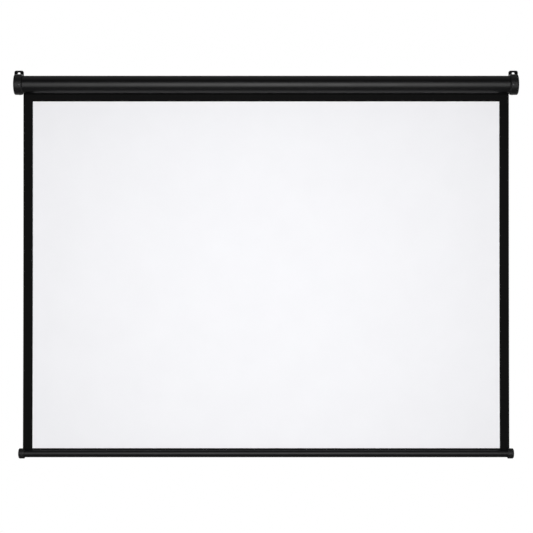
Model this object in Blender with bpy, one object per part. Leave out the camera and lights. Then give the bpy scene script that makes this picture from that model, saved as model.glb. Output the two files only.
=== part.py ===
"""A wall-hung, self-locking spring-roller projector screen, pulled down as it hangs in use.

The origin is midway between the two hanging holes, on the wall. The wall is the plane Y = 0, the
screen faces -Y, and +Z is up. The roller and the case share one axis along X, and the bottom bar
hangs on the fabric below it. Sizes are given in millimetres by MM, and the model is in metres.
"""

import math

import bmesh
import bpy
from mathutils import Matrix, Vector

MM = 0.001
SIDES = {"left": -1, "right": 1}

# Clearances between pieces, and how far a cutter runs past what it cuts
FIT_GAP = 0.3 * MM
RUNNING_GAP = 0.3 * MM
LAYER_GAP = 0.3 * MM
CUT_PAST = 2.0 * MM

# The fabric: the picture, the black border round it and the black drop above it
VIEW_WIDTH = 1463.0 * MM
VIEW_HEIGHT = 1087.0 * MM
BORDER_WIDTH = 30.0 * MM
DROP_BELOW_CASE = 23.5 * MM
STRIP_ABOVE_BAR = 4.3 * MM
SHEET_THICKNESS = 0.3 * MM
MASK_THICKNESS = 0.15 * MM
BACKING_THICKNESS = 0.15 * MM
SPARE_TURNS = 2

# The roller and its moulded ends
ROLLER_RADIUS = 16.0 * MM
ROLLER_WALL = 1.0 * MM
ROLLER_MARGIN = 1.2 * MM
FLANGE_HEIGHT = 5.5 * MM
FLANGE_THICKNESS = 3.0 * MM
FLANGE_ROUND = 0.8 * MM
PLUG_LENGTH = 27.0 * MM
PLUG_HUB_WALL = 3.0 * MM
PLUG_SHELL_WALL = 2.2 * MM
PLUG_RECESS_DEPTH = 20.0 * MM
PLUG_RIB_COUNT = 6
PLUG_RIB_THICKNESS = 2.0 * MM

# The case: a rolled tube with a slot whose two edges are hemmed inwards
CASE_WALL = 1.2 * MM
CASE_ROOM = 2.2 * MM
HEM_CURL_RADIUS = 1.3 * MM
HEM_RETURN = 2.0 * MM
SLOT_HALF_ANGLE = 20.0
CASE_STEP_ANGLE = 7.5

# The moulded end caps
CAP_WALL = 4.4 * MM
CAP_END_THICKNESS = 2.8 * MM
CAP_DOME = 2.1 * MM
CAP_FLAT_RADIUS = 13.0 * MM
CAP_RIM_ROUND = 4.3 * MM
CAP_RIM_START_ANGLE = 15.0
CAP_DOME_CURVE = 1.4
CAP_TAPER_LENGTH = 2.8 * MM
CAP_EDGE_WALL = 0.9 * MM
CAP_SKIRT_COVER = 1.5 * MM
TUBE_PAST_FABRIC = 22.2 * MM
SPIGOT_WALL = 2.4 * MM
SPIGOT_LENGTH = 20.5 * MM
SPIGOT_LEAD_IN = 0.8 * MM
BOSS_WALL = 4.0 * MM
CAP_RIB_COUNT = 6
CAP_RIB_THICKNESS = 1.8 * MM
CAP_RIB_HEIGHT = 7.0 * MM
CAP_RIB_START_ANGLE = 15.0
FABRIC_NOTCH_ROOM = 2.4 * MM

# The hanging tab behind each cap
TAB_WIDTH = 29.1 * MM
TAB_PAST_CAP = 3.0 * MM
TAB_THICKNESS = 5.0 * MM
TAB_CORNER_RADIUS = 6.0 * MM
TAB_BELOW_AXIS = 18.0 * MM
WALL_STANDOFF = 2.8 * MM
HOLE_RADIUS = 4.5 * MM
HOLE_CHAMFER = 0.6 * MM
HOLE_ABOVE_CAP = 5.8 * MM
TAB_ABOVE_HOLE = 9.6 * MM
SADDLE_TOP_ANGLE = 62.0
SADDLE_BOTTOM_ANGLE = -44.0

# The screws that fix the caps to the tube
SCREW_ANGLES = {"front": 186.0, "under": -90.0}
SCREW_RADIUS = 1.45 * MM
SCREW_TIP = 1.6 * MM
SCREW_PAST_SPIGOT = 0.6 * MM
SCREW_HEAD_RADIUS = 3.2 * MM
SCREW_HEAD_HEIGHT = 1.9 * MM
SCREW_FROM_TUBE_END = 14.7 * MM
COUNTERBORE_DEPTH = 1.4 * MM

# The fixed spindle and the ratchet on it, at the left end
SPINDLE_SQUARE = 7.0 * MM
SPINDLE_RADIUS = 4.0 * MM
ARBOR_RADIUS = 3.3 * MM
SOCKET_DEPTH = 14.5 * MM
CLIP_THICKNESS = 1.0 * MM
CLIP_WIDTH = 3.0 * MM
CLIP_GROOVE_DEPTH = 0.8 * MM
CLIP_MOUTH_ANGLE = 70.0
CLIP_LAND = 1.5 * MM
RATCHET_RADIUS = 9.5 * MM
RATCHET_THICKNESS = 3.0 * MM
NOTCH_COUNT = 4
NOTCH_DEPTH = 3.3 * MM
NOTCH_FLOOR_ANGLE = 28.0
NOTCH_RAMP_ANGLE = 55.0

# The two pawls, which swing on pins in the roller's left end
PAWL_ANGLES = {"upper": 100.0, "lower": 280.0}
PAWL_TRAIL_ANGLE = 60.0
PAWL_BOSS_RADIUS = 3.2 * MM
PAWL_TOP_ANGLE = 8.0
PAWL_UNDER_ANGLE = -190.0
PAWL_RIM_GAP = 2.8 * MM
PAWL_NOSE_WIDTH = 2.4 * MM
PAWL_NOSE_HEIGHT = 3.6 * MM
PAWL_FLOOR_GAP = 0.55 * MM
PAWL_LIFT_GAP = 0.9 * MM
PIN_RADIUS = 1.5 * MM
PIN_HEAD_RADIUS = 2.6 * MM
PIN_HEAD_THICKNESS = 0.8 * MM

# The torsion spring and what holds its two ends
COLLAR_FLANGE = 2.0 * MM
COLLAR_NOSE = 16.0 * MM
COLLAR_PIN_RADIUS = 1.25 * MM
SPRING_WIRE = 2.4 * MM
SPRING_SIDE_GAP = 3.8 * MM
SPRING_PITCH = 5.0 * MM
SPRING_TURNS = 30
SPRING_POINTS_PER_TURN = 8
ANCHOR_NOSE = 12.0 * MM
ANCHOR_LENGTH = 20.0 * MM
ARBOR_IN_ANCHOR = 14.0 * MM

# The running pin and its bush, at the right end
BUSH_WALL = 2.7 * MM
BUSH_LENGTH = 14.0 * MM
BUSH_FLANGE_RADIUS = 10.0 * MM
IDLE_PIN_INSET = 2.0 * MM
PIN_CHAMFER = 0.6 * MM

# The bottom bar
BAR_RADIUS = 12.0 * MM
BAR_WALL = 1.2 * MM
BAR_SLOT_WIDTH = 4.0 * MM
BAR_STEP_ANGLE = 10.0
BAR_CAP_WALL = 3.7 * MM
BAR_CAP_LENGTH = 19.3 * MM
BAR_CAP_END = 3.5 * MM
BAR_CAP_DOME = 4.5 * MM
BAR_CAP_FLAT_RADIUS = 9.0 * MM
BAR_CAP_CHAMFER = 1.0 * MM
BAR_CAP_COVER = 5.2 * MM
BAR_SPIGOT_WALL = 2.0 * MM
BAR_SPIGOT_ROOM = 1.8 * MM
BAR_NOTCH_ROOM = 1.2 * MM
HEM_ROD_RADIUS = 3.0 * MM
HEM_ROD_INSET = 2.0 * MM

# How finely the round shapes are divided
CAP_SEGMENTS = 40
ROLLER_SEGMENTS = 24
BAR_SEGMENTS = 36
SMALL_SEGMENTS = 12
DOME_STEPS = 4
CORNER_STEPS = 5
CURL_STEPS = 6
SADDLE_STEPS = 10
SPIGOT_STEPS = 8
CLIP_STEPS = 16
HEM_STEPS = 20
PAWL_STEPS = 11
SHARP_ANGLE = 31.0
MERGE_DISTANCE = 0.001 * MM

# What follows across the roller
LAMINATE = SHEET_THICKNESS + BACKING_THICKNESS
LAYER_STEP = LAMINATE + LAYER_GAP
BORE_RADIUS = ROLLER_RADIUS - ROLLER_WALL
FIRST_LAYER_RADIUS = ROLLER_RADIUS + LAYER_GAP + LAMINATE / 2
FABRIC_PLANE = FIRST_LAYER_RADIUS + SPARE_TURNS * LAYER_STEP
SHEET_FRONT = FABRIC_PLANE - LAMINATE / 2
SHEET_BACK = SHEET_FRONT + SHEET_THICKNESS
BACKING_BACK = SHEET_BACK + BACKING_THICKNESS
MASK_FRONT = SHEET_FRONT - MASK_THICKNESS
FLANGE_RADIUS = ROLLER_RADIUS + FLANGE_HEIGHT
HEM_CIRCLE = FLANGE_RADIUS + CASE_ROOM + CASE_WALL / 2
CASE_MIDDLE = HEM_CIRCLE + 2 * HEM_CURL_RADIUS
CASE_INNER_RADIUS = CASE_MIDDLE - CASE_WALL / 2
CASE_RADIUS = CASE_MIDDLE + CASE_WALL / 2
SLOT_ANGLE = -math.degrees(math.acos(FABRIC_PLANE / CASE_RADIUS))
CAP_BORE_RADIUS = CASE_RADIUS + FIT_GAP
CAP_RADIUS = CAP_BORE_RADIUS + CAP_WALL
SPIGOT_RADIUS = CASE_INNER_RADIUS - FIT_GAP
CUP_RADIUS = SPIGOT_RADIUS - SPIGOT_WALL
SPINDLE_BORE = SPINDLE_RADIUS + FIT_GAP
ARBOR_BORE = ARBOR_RADIUS + FIT_GAP
SOCKET_HALF = SPINDLE_SQUARE / 2 + FIT_GAP
BUSH_RADIUS = SPINDLE_BORE + BUSH_WALL
BUSH_SEAT_RADIUS = BUSH_RADIUS + FIT_GAP
BOSS_RADIUS = BUSH_SEAT_RADIUS + BOSS_WALL

# What follows along the roller, outwards from the middle of the screen
FABRIC_HALF = VIEW_WIDTH / 2 + BORDER_WIDTH
ROLLER_HALF = FABRIC_HALF + ROLLER_MARGIN
PLUG_START = ROLLER_HALF - PLUG_LENGTH
FLANGE_START = ROLLER_HALF + FIT_GAP
FLANGE_END = FLANGE_START + FLANGE_THICKNESS
LOCK_START = FLANGE_END + RUNNING_GAP
LOCK_END = LOCK_START + RATCHET_THICKNESS
BOSS_START = LOCK_END + RUNNING_GAP
CAP_INNER_END = FABRIC_HALF - CAP_SKIRT_COVER
TUBE_HALF = FABRIC_HALF + TUBE_PAST_FABRIC
CAP_SEAT = TUBE_HALF + FIT_GAP
CAP_RIM_END = CAP_SEAT + CAP_END_THICKNESS
CAP_OUTER_END = CAP_RIM_END + CAP_DOME
SPIGOT_START = CAP_SEAT - SPIGOT_LENGTH
SCREW_PLACE = TUBE_HALF - SCREW_FROM_TUBE_END
TAB_OUTER_END = CAP_OUTER_END + TAB_PAST_CAP
TAB_INNER_END = TAB_OUTER_END - TAB_WIDTH
HOLE_PLACE = TAB_OUTER_END - TAB_WIDTH / 2

# What follows for the spring, inwards from the left end of the roller
CLIP_END = PLUG_START - RUNNING_GAP
CLIP_START = CLIP_END - CLIP_THICKNESS
JOURNAL_START = CLIP_START - FIT_GAP - CLIP_LAND
COLLAR_END = JOURNAL_START - FIT_GAP
COLLAR_START = COLLAR_END - COLLAR_FLANGE
SPRING_RADIUS = BORE_RADIUS - SPRING_SIDE_GAP - SPRING_WIRE / 2
SPRING_FLAT_RADIUS = SPRING_RADIUS * math.cos(math.pi / SPRING_POINTS_PER_TURN)
NOSE_RADIUS = SPRING_FLAT_RADIUS - SPRING_WIRE / 2 - FIT_GAP
SPRING_FIRST = COLLAR_START - FIT_GAP - SPRING_WIRE / 2
SPRING_LAST = SPRING_FIRST - SPRING_TURNS * SPRING_PITCH
ANCHOR_FACE = SPRING_LAST - SPRING_WIRE / 2 - FIT_GAP
ANCHOR_START = ANCHOR_FACE - ANCHOR_LENGTH

# What follows for the lock
NOTCH_FLOOR_RADIUS = RATCHET_RADIUS - NOTCH_DEPTH
PAWL_CIRCLE = RATCHET_RADIUS + PAWL_RIM_GAP + PAWL_BOSS_RADIUS
NOSE_INNER = NOTCH_FLOOR_RADIUS + PAWL_FLOOR_GAP
NOSE_OUTER = NOSE_INNER + PAWL_NOSE_HEIGHT

# What follows in height and depth, from the roller's axis
HOLE_HEIGHT = CAP_RADIUS + HOLE_ABOVE_CAP
WALL_DEPTH = CAP_RADIUS + WALL_STANDOFF
TAB_FRONT = WALL_DEPTH - TAB_THICKNESS
VIEW_TOP = -CASE_RADIUS - DROP_BELOW_CASE
VIEW_BOTTOM = VIEW_TOP - VIEW_HEIGHT
BAR_TOP = VIEW_BOTTOM - STRIP_ABOVE_BAR
SHEET_TOP = -RUNNING_GAP
SHEET_BOTTOM = BAR_TOP + FIT_GAP
BAR_AXIS_HEIGHT = BAR_TOP - BAR_RADIUS

# What follows for the bar
BAR_MIDDLE = BAR_RADIUS - BAR_WALL / 2
BAR_INNER_RADIUS = BAR_RADIUS - BAR_WALL
BAR_CAP_BORE = BAR_RADIUS + FIT_GAP
BAR_CAP_RADIUS = BAR_CAP_BORE + BAR_CAP_WALL
BAR_CAP_START = FABRIC_HALF - BAR_CAP_COVER
BAR_CAP_OUTER_END = BAR_CAP_START + BAR_CAP_LENGTH
BAR_CAP_SEAT = BAR_CAP_OUTER_END - BAR_CAP_END
BAR_HALF = BAR_CAP_SEAT - FIT_GAP
BAR_SPIGOT_RADIUS = BAR_INNER_RADIUS - FIT_GAP
BAR_SPIGOT_START = FABRIC_HALF + BAR_SPIGOT_ROOM
BAR_CUP_RADIUS = BAR_SPIGOT_RADIUS - BAR_SPIGOT_WALL
HEM_BORE_RADIUS = HEM_ROD_RADIUS + FIT_GAP
HEM_RADIUS = HEM_BORE_RADIUS + LAMINATE

# Colour, roughness and metallic value of each finish
FINISHES = {
    "black_powder_coat": ((0.010, 0.010, 0.011), 0.32, 0.0),
    "black_moulding": ((0.013, 0.013, 0.014), 0.38, 0.0),
    "grey_moulding": ((0.120, 0.120, 0.125), 0.50, 0.0),
    "natural_nylon": ((0.620, 0.600, 0.540), 0.45, 0.0),
    "matt_white_face": ((0.860, 0.865, 0.880), 0.92, 0.0),
    "black_ink": ((0.008, 0.008, 0.009), 0.85, 0.0),
    "black_back_coat": ((0.012, 0.012, 0.013), 0.80, 0.0),
    "zinc_plate": ((0.560, 0.570, 0.580), 0.30, 1.0),
    "black_zinc_plate": ((0.035, 0.035, 0.037), 0.42, 1.0),
    "bare_steel": ((0.420, 0.430, 0.440), 0.38, 1.0),
    "oiled_spring_steel": ((0.150, 0.150, 0.160), 0.35, 1.0),
}


def clear_scene():
    for old in list(bpy.data.objects):
        bpy.data.objects.remove(old, do_unlink=True)


def make_material(name, finish):
    colour, roughness, metallic = FINISHES[finish]
    made = bpy.data.materials.new(f"{name}_{finish}")
    made.use_nodes = True
    shader = made.node_tree.nodes["Principled BSDF"]
    shader.inputs["Base Color"].default_value = (*colour, 1.0)
    shader.inputs["Roughness"].default_value = roughness
    shader.inputs["Metallic"].default_value = metallic
    made.diffuse_color = (*colour, 1.0)
    return made


def add_axis(name, place, parent=None):
    """An empty on the axis that a group of pieces shares."""
    axis = bpy.data.objects.new(name, None)
    axis.location = place
    axis.parent = parent
    bpy.context.scene.collection.objects.link(axis)
    return axis


def add_object(name, data, parent):
    piece = bpy.data.objects.new(name, data)
    piece.parent = parent
    bpy.context.scene.collection.objects.link(piece)
    return piece


def shade(mesh):
    """Smooth where faces nearly agree, and crisp at the real edges."""
    mesh.shade_smooth()
    mesh.set_sharp_from_angle(angle=math.radians(SHARP_ANGLE))


def mesh_of(name, bm):
    mesh = bpy.data.meshes.new(name)
    bm.to_mesh(mesh)
    bm.free()
    shade(mesh)
    return mesh


def add_piece(name, bm, finish, parent):
    mesh = mesh_of(name, bm)
    mesh.materials.append(make_material(name, finish))
    return add_object(name, mesh, parent)


def combine(target, operation, name, bm):
    """Changes the target by a tool shape, given in the target's own frame."""
    tool = add_object(f"{target.name}_{name}", mesh_of(name, bm), target)
    tool.hide_render = True
    tool.display_type = "WIRE"
    modifier = target.modifiers.new(name, "BOOLEAN")
    modifier.operation = operation
    modifier.solver = "EXACT"
    modifier.object = tool


def cut(target, name, bm):
    combine(target, "DIFFERENCE", name, bm)


def fuse(target, name, bm):
    combine(target, "UNION", name, bm)


def settle_shapes():
    """Makes each cut and fused shape final, so that its new edges are shaded crisp too."""
    bpy.context.view_layer.update()
    graph = bpy.context.evaluated_depsgraph_get()
    final = {}
    for piece in bpy.data.objects:
        if piece.modifiers:
            final[piece] = bpy.data.meshes.new_from_object(piece.evaluated_get(graph))
    for tool in [o for o in bpy.data.objects if o.display_type == "WIRE"]:
        bpy.data.objects.remove(tool, do_unlink=True)
    for piece, mesh in final.items():
        piece.modifiers.clear()
        piece.data = mesh
        mesh.name = piece.name
        shade(mesh)


def polar(radius, degrees, centre=(0, 0)):
    turn = math.radians(degrees)
    return (centre[0] + radius * math.cos(turn), centre[1] + radius * math.sin(turn))


def arc(radius, start, end, steps, centre=(0, 0)):
    """Points on an arc, from the start angle to the end angle in degrees."""
    return [polar(radius, start + (end - start) * i / steps, centre) for i in range(steps + 1)]


def turned(profile, segments=ROLLER_SEGMENTS):
    """A solid turned about X from (x, radius) points: a ring, unless its ends lie on the axis.

    It starts half a facet off the vertical, so that its facet edges miss those of its neighbours.
    """
    bm = bmesh.new()
    start = math.pi / segments
    corners = [bm.verts.new((x, radius * math.sin(start), radius * math.cos(start))) for x, radius in profile]
    pairs = list(zip(corners, corners[1:]))
    if profile[0][1] > 0:
        pairs.append((corners[-1], corners[0]))
    edges = [bm.edges.new(pair) for pair in pairs]
    bmesh.ops.spin(
        bm, geom=corners + edges, axis=(1, 0, 0), cent=(0, 0, 0),
        angle=2 * math.pi, steps=segments, use_merge=True,
    )
    bmesh.ops.remove_doubles(bm, verts=bm.verts, dist=MERGE_DISTANCE)
    bmesh.ops.recalc_face_normals(bm, faces=bm.faces)
    return bm


def rod(radius, start, end, segments=SMALL_SEGMENTS):
    return turned([(start, 0), (start, radius), (end, radius), (end, 0)], segments)


def ring(inner, outer, start, end, segments=ROLLER_SEGMENTS):
    return turned([(start, inner), (start, outer), (end, outer), (end, inner)], segments)


def swept(outline, axis, low, high):
    """A closed outline swept along an axis. Its points hold the other two coordinates, in order."""
    index = "XYZ".index(axis)
    bm = bmesh.new()
    corners = []
    for pair in outline:
        place = list(pair)
        place.insert(index, low)
        corners.append(bm.verts.new(place))
    face = bm.faces.new(corners)
    grown = bmesh.ops.extrude_face_region(bm, geom=[face])["geom"]
    shift = Vector((0, 0, 0))
    shift[index] = high - low
    bmesh.ops.translate(bm, vec=shift, verts=[v for v in grown if isinstance(v, bmesh.types.BMVert)])
    bmesh.ops.recalc_face_normals(bm, faces=bm.faces)
    return bm


def block(low, high):
    outline = [(low[1], low[2]), (high[1], low[2]), (high[1], high[2]), (low[1], high[2])]
    return swept(outline, "X", low[0], high[0])


def square_bar(half, start, end):
    return block((start, -half, -half), (end, half, half))


def blades(count, thickness, start, end, inner, outer, first_angle=0.0):
    """Flat ribs that stand out from the X axis at even angles."""
    bm = bmesh.new()
    for i in range(count):
        blade = block((start, inner, -thickness / 2), (end, outer, thickness / 2))
        turn = Matrix.Rotation(math.radians(first_angle + 360 * i / count), 3, "X")
        bmesh.ops.rotate(blade, verts=blade.verts, cent=(0, 0, 0), matrix=turn)
        mesh = mesh_of("blade", blade)
        bm.from_mesh(mesh)
    return bm


def for_side(bm, side):
    """A shape made for the right-hand end, mirrored where the side is the left."""
    if side < 0:
        bmesh.ops.scale(bm, vec=(-1, 1, 1), verts=bm.verts)
        bmesh.ops.reverse_faces(bm, faces=bm.faces)
    return bm


def radial_turn(degrees):
    """The turn that points +X away from the roller's axis: 0 is to the wall and 90 is up."""
    return Matrix.Rotation(math.radians(degrees), 4, "X") @ Matrix.Rotation(math.pi / 2, 4, "Z")


def radial(bm, degrees, place):
    """A shape made along +X, pointed away from the roller's axis at a place along it."""
    bmesh.ops.transform(bm, verts=bm.verts, matrix=Matrix.Translation((place, 0, 0)) @ radial_turn(degrees))
    return bm


def strip(centreline, thickness):
    """The closed outline of a sheet of even thickness that follows an open line."""
    sides = ([], [])
    for i, point in enumerate(centreline):
        here = Vector(point)
        steps = []
        if i > 0:
            steps.append((here - Vector(centreline[i - 1])).normalized())
        if i < len(centreline) - 1:
            steps.append((Vector(centreline[i + 1]) - here).normalized())
        along = sum(steps, Vector((0, 0))).normalized()
        across = Vector((-along.y, along.x)) * thickness / 2 / along.dot(steps[0])
        sides[0].append(tuple(here + across))
        sides[1].append(tuple(here - across))
    return sides[0] + sides[1][::-1]


# The case tube

def hem_line(angle, way):
    """The curl and the short return of one slot edge, from the end of the wall."""
    centre = polar(CASE_MIDDLE - HEM_CURL_RADIUS, angle)
    curl = arc(HEM_CURL_RADIUS, angle, angle - 180 * way, CURL_STEPS, centre)
    return_angle = math.degrees(HEM_RETURN / HEM_CIRCLE)
    return curl[1:] + [polar(HEM_CIRCLE, angle + return_angle * way)]


def case_line():
    """The rolled wall in Y and Z, from one hemmed slot edge round the top to the other."""
    first = SLOT_ANGLE + SLOT_HALF_ANGLE
    last = SLOT_ANGLE - SLOT_HALF_ANGLE + 360
    wall = arc(CASE_MIDDLE, first, last, round((last - first) / CASE_STEP_ANGLE))
    return hem_line(first, 1)[::-1] + wall + hem_line(last, -1)


def make_case_tube(parent):
    shape = swept(strip(case_line(), CASE_WALL), "X", -TUBE_HALF, TUBE_HALF)
    tube = add_piece("case_tube", shape, "black_powder_coat", parent)
    for end, side in SIDES.items():
        for label, angle in SCREW_ANGLES.items():
            drill = rod(SCREW_RADIUS + FIT_GAP, CUP_RADIUS, CAP_RADIUS)
            cut(tube, f"{label}_hole_{end}", radial(drill, angle, side * SCREW_PLACE))


# The end caps

def cap_outside():
    """A shallow dome, a rounded rim, a straight skirt and a taper down to the tube."""
    centre = (CAP_RIM_END - CAP_RIM_ROUND, CAP_RADIUS - CAP_RIM_ROUND)
    rim = arc(CAP_RIM_ROUND, CAP_RIM_START_ANGLE, 90, CORNER_STEPS, centre)
    dome = [(CAP_OUTER_END, 0)]
    for i in range(DOME_STEPS):
        share = i / DOME_STEPS
        drop = (CAP_OUTER_END - rim[0][0]) * share ** CAP_DOME_CURVE
        dome.append((CAP_OUTER_END - drop, CAP_FLAT_RADIUS + (rim[0][1] - CAP_FLAT_RADIUS) * share))
    skirt = [
        (CAP_INNER_END + CAP_TAPER_LENGTH, CAP_RADIUS),
        (CAP_INNER_END, CAP_BORE_RADIUS + CAP_EDGE_WALL),
        (CAP_INNER_END, 0),
    ]
    return turned(dome + rim + skirt, CAP_SEGMENTS)


def cap_cavity(bore):
    """What is hollow in a cap: the seat of the tube, the cup inside the spigot and the boss's bore."""
    bore_end = BOSS_START + BUSH_LENGTH + FIT_GAP
    profile = [
        (CAP_INNER_END - CUT_PAST, 0),
        (CAP_INNER_END - CUT_PAST, CAP_BORE_RADIUS),
        (CAP_SEAT, CAP_BORE_RADIUS),
        (CAP_SEAT, SPIGOT_RADIUS),
        (SPIGOT_START + 2 * SPIGOT_LEAD_IN, SPIGOT_RADIUS),
        (SPIGOT_START, SPIGOT_RADIUS - SPIGOT_LEAD_IN),
        (SPIGOT_START, CUP_RADIUS),
        (CAP_SEAT, CUP_RADIUS),
        (CAP_SEAT, BOSS_RADIUS),
        (BOSS_START, BOSS_RADIUS),
    ]
    if bore > 0:
        profile += [(BOSS_START, bore), (bore_end, bore), (bore_end, 0)]
    else:
        profile.append((BOSS_START, 0))
    return turned(profile, CAP_SEGMENTS)


def tab_plate():
    left, right = TAB_INNER_END + TAB_CORNER_RADIUS, TAB_OUTER_END - TAB_CORNER_RADIUS
    low = TAB_CORNER_RADIUS - TAB_BELOW_AXIS
    high = HOLE_HEIGHT + TAB_ABOVE_HOLE - TAB_CORNER_RADIUS
    outline = []
    for i, centre in enumerate([(right, high), (left, high), (left, low), (right, low)]):
        outline += arc(TAB_CORNER_RADIUS, 90 * i, 90 * i + 90, CORNER_STEPS, centre)
    return swept(outline, "Y", TAB_FRONT, WALL_DEPTH)


def tab_saddle():
    """The web that fills the space between the flat tab and the round skirt."""
    middle = (CAP_RADIUS + CAP_BORE_RADIUS) / 2
    outline = arc(middle, SADDLE_TOP_ANGLE, SADDLE_BOTTOM_ANGLE, SADDLE_STEPS)
    bottom = FIT_GAP - TAB_BELOW_AXIS
    top = HOLE_HEIGHT - HOLE_RADIUS - HOLE_CHAMFER - FIT_GAP
    inside_tab = TAB_FRONT + TAB_THICKNESS / 2
    outline += [(inside_tab, bottom), (inside_tab, top), (TAB_FRONT, top)]
    start = CAP_INNER_END + CAP_TAPER_LENGTH
    return swept(outline, "X", start + FIT_GAP, CAP_RIM_END - CAP_RIM_ROUND)


def hanging_hole():
    front, back = TAB_FRONT - CUT_PAST, WALL_DEPTH + CUT_PAST
    wide = HOLE_RADIUS + HOLE_CHAMFER
    drill = turned([
        (front, 0), (front, wide), (TAB_FRONT, wide), (TAB_FRONT + HOLE_CHAMFER, HOLE_RADIUS),
        (WALL_DEPTH - HOLE_CHAMFER, HOLE_RADIUS), (WALL_DEPTH, wide), (back, wide), (back, 0),
    ])
    place = Matrix.Translation((HOLE_PLACE, 0, HOLE_HEIGHT))
    bmesh.ops.transform(drill, verts=drill.verts, matrix=place @ Matrix.Rotation(math.pi / 2, 4, "Z"))
    return drill


def spigot_gap():
    """The sector that the spigot leaves free for the hemmed slot edges."""
    reach = SLOT_HALF_ANGLE + math.degrees((HEM_RETURN + 2 * CASE_WALL) / HEM_CIRCLE)
    outer = arc((CAP_BORE_RADIUS + SPIGOT_RADIUS) / 2, SLOT_ANGLE - reach, SLOT_ANGLE + reach, SPIGOT_STEPS)
    inner = arc(CUP_RADIUS - SPIGOT_WALL, SLOT_ANGLE + reach, SLOT_ANGLE - reach, SPIGOT_STEPS)
    return swept(outer + inner, "X", SPIGOT_START - CUT_PAST, CAP_SEAT + FIT_GAP)


def screw_seat():
    """The clearance hole of a screw and the recess of its head, along +X from the roller's axis."""
    bottom, top = CUP_RADIUS - CUT_PAST, CAP_RADIUS + CUT_PAST
    seat = CAP_RADIUS - COUNTERBORE_DEPTH
    hole, recess = SCREW_RADIUS + FIT_GAP, SCREW_HEAD_RADIUS + FIT_GAP
    profile = [(bottom, 0), (bottom, hole), (seat, hole), (seat, recess), (top, recess), (top, 0)]
    return turned(profile, SMALL_SEGMENTS)


def fabric_notch():
    low = (CAP_INNER_END - CUT_PAST, FABRIC_PLANE - FABRIC_NOTCH_ROOM, -CAP_RADIUS - CUT_PAST)
    high = (FABRIC_HALF + FABRIC_NOTCH_ROOM, FABRIC_PLANE + FABRIC_NOTCH_ROOM, -CAP_BORE_RADIUS / 2)
    return block(low, high)


def make_end_cap(end, side, bore, parent):
    cap = add_piece(f"end_cap_{end}", for_side(cap_outside(), side), "black_moulding", parent)
    fuse(cap, "tab", for_side(tab_plate(), side))
    fuse(cap, "saddle", for_side(tab_saddle(), side))
    cut(cap, "cavity", for_side(cap_cavity(bore), side))
    ribs = blades(
        CAP_RIB_COUNT, CAP_RIB_THICKNESS, CAP_SEAT - CAP_RIB_HEIGHT, CAP_SEAT + FIT_GAP,
        BOSS_RADIUS - BOSS_WALL / 2, CUP_RADIUS + SPIGOT_WALL / 2, CAP_RIB_START_ANGLE,
    )
    fuse(cap, "ribs", for_side(ribs, side))
    cut(cap, "spigot_gap", for_side(spigot_gap(), side))
    cut(cap, "fabric_notch", for_side(fabric_notch(), side))
    cut(cap, "hanging_hole", for_side(hanging_hole(), side))
    for label, angle in SCREW_ANGLES.items():
        cut(cap, f"{label}_screw_seat", radial(screw_seat(), angle, side * SCREW_PLACE))
    return cap


def make_end_caps(parent):
    left = make_end_cap("left", -1, 0, parent)
    socket = square_bar(SOCKET_HALF, BOSS_START - CUT_PAST, BOSS_START + SOCKET_DEPTH)
    cut(left, "socket", for_side(socket, -1))
    make_end_cap("right", 1, BUSH_SEAT_RADIUS, parent)


def make_cap_screws(parent):
    """Pan-head screws that share one shape, each in its seat."""
    seat = CAP_RADIUS - COUNTERBORE_DEPTH + FIT_GAP
    tip = CUP_RADIUS - SCREW_PAST_SPIGOT
    crown = SCREW_HEAD_HEIGHT / 2
    profile = [(tip, 0), (tip + SCREW_TIP, SCREW_RADIUS), (seat, SCREW_RADIUS), (seat, SCREW_HEAD_RADIUS)]
    for x, y in arc(1, 90, 0, DOME_STEPS - 1):
        profile.append((seat + SCREW_HEAD_HEIGHT - crown * (1 - y), SCREW_HEAD_RADIUS * (1 - x)))
    shape = mesh_of("cap_screw", turned(profile, SMALL_SEGMENTS))
    shape.materials.append(make_material("cap_screw", "black_zinc_plate"))
    for end, side in SIDES.items():
        for label, angle in SCREW_ANGLES.items():
            screw = add_object(f"cap_screw_{label}_{end}", shape, parent)
            screw.rotation_mode = "ZYX"
            screw.location = (side * SCREW_PLACE, 0, 0)
            screw.rotation_euler = (math.radians(angle), 0, math.pi / 2)


# The roller and its two moulded ends

def make_plug(name, side, parent):
    """A ribbed plug with a flange that guides the fabric's edge."""
    shell = BORE_RADIUS - FIT_GAP
    shell_inside = shell - PLUG_SHELL_WALL
    hub = SPINDLE_BORE + PLUG_HUB_WALL
    floor = PLUG_START + PLUG_RECESS_DEPTH
    profile = [
        (PLUG_START, SPINDLE_BORE), (PLUG_START, hub), (floor, hub), (floor, shell_inside),
        (PLUG_START, shell_inside), (PLUG_START, shell), (FLANGE_START, shell),
        (FLANGE_START, FLANGE_RADIUS - FLANGE_ROUND), (FLANGE_START + FLANGE_ROUND, FLANGE_RADIUS),
        (FLANGE_END - FLANGE_ROUND, FLANGE_RADIUS), (FLANGE_END, FLANGE_RADIUS - FLANGE_ROUND),
        (FLANGE_END, SPINDLE_BORE),
    ]
    plug = add_piece(name, for_side(turned(profile), side), "grey_moulding", parent)
    ribs = blades(
        PLUG_RIB_COUNT, PLUG_RIB_THICKNESS, PLUG_START + PLUG_RIB_THICKNESS, floor + PLUG_RIB_THICKNESS,
        hub - PLUG_HUB_WALL / 2, shell_inside + PLUG_SHELL_WALL / 2,
    )
    fuse(plug, "ribs", for_side(ribs, side))
    return plug


def spiral_line():
    """The spare turns, from the one on the roller out to where the fabric hangs off behind."""
    steps = SPARE_TURNS * ROLLER_SEGMENTS
    line = []
    for i in range(steps + 1):
        back = 1 - i / steps
        line.append(polar(FABRIC_PLANE - back * SPARE_TURNS * LAYER_STEP, back * SPARE_TURNS * 360))
    return line


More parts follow.
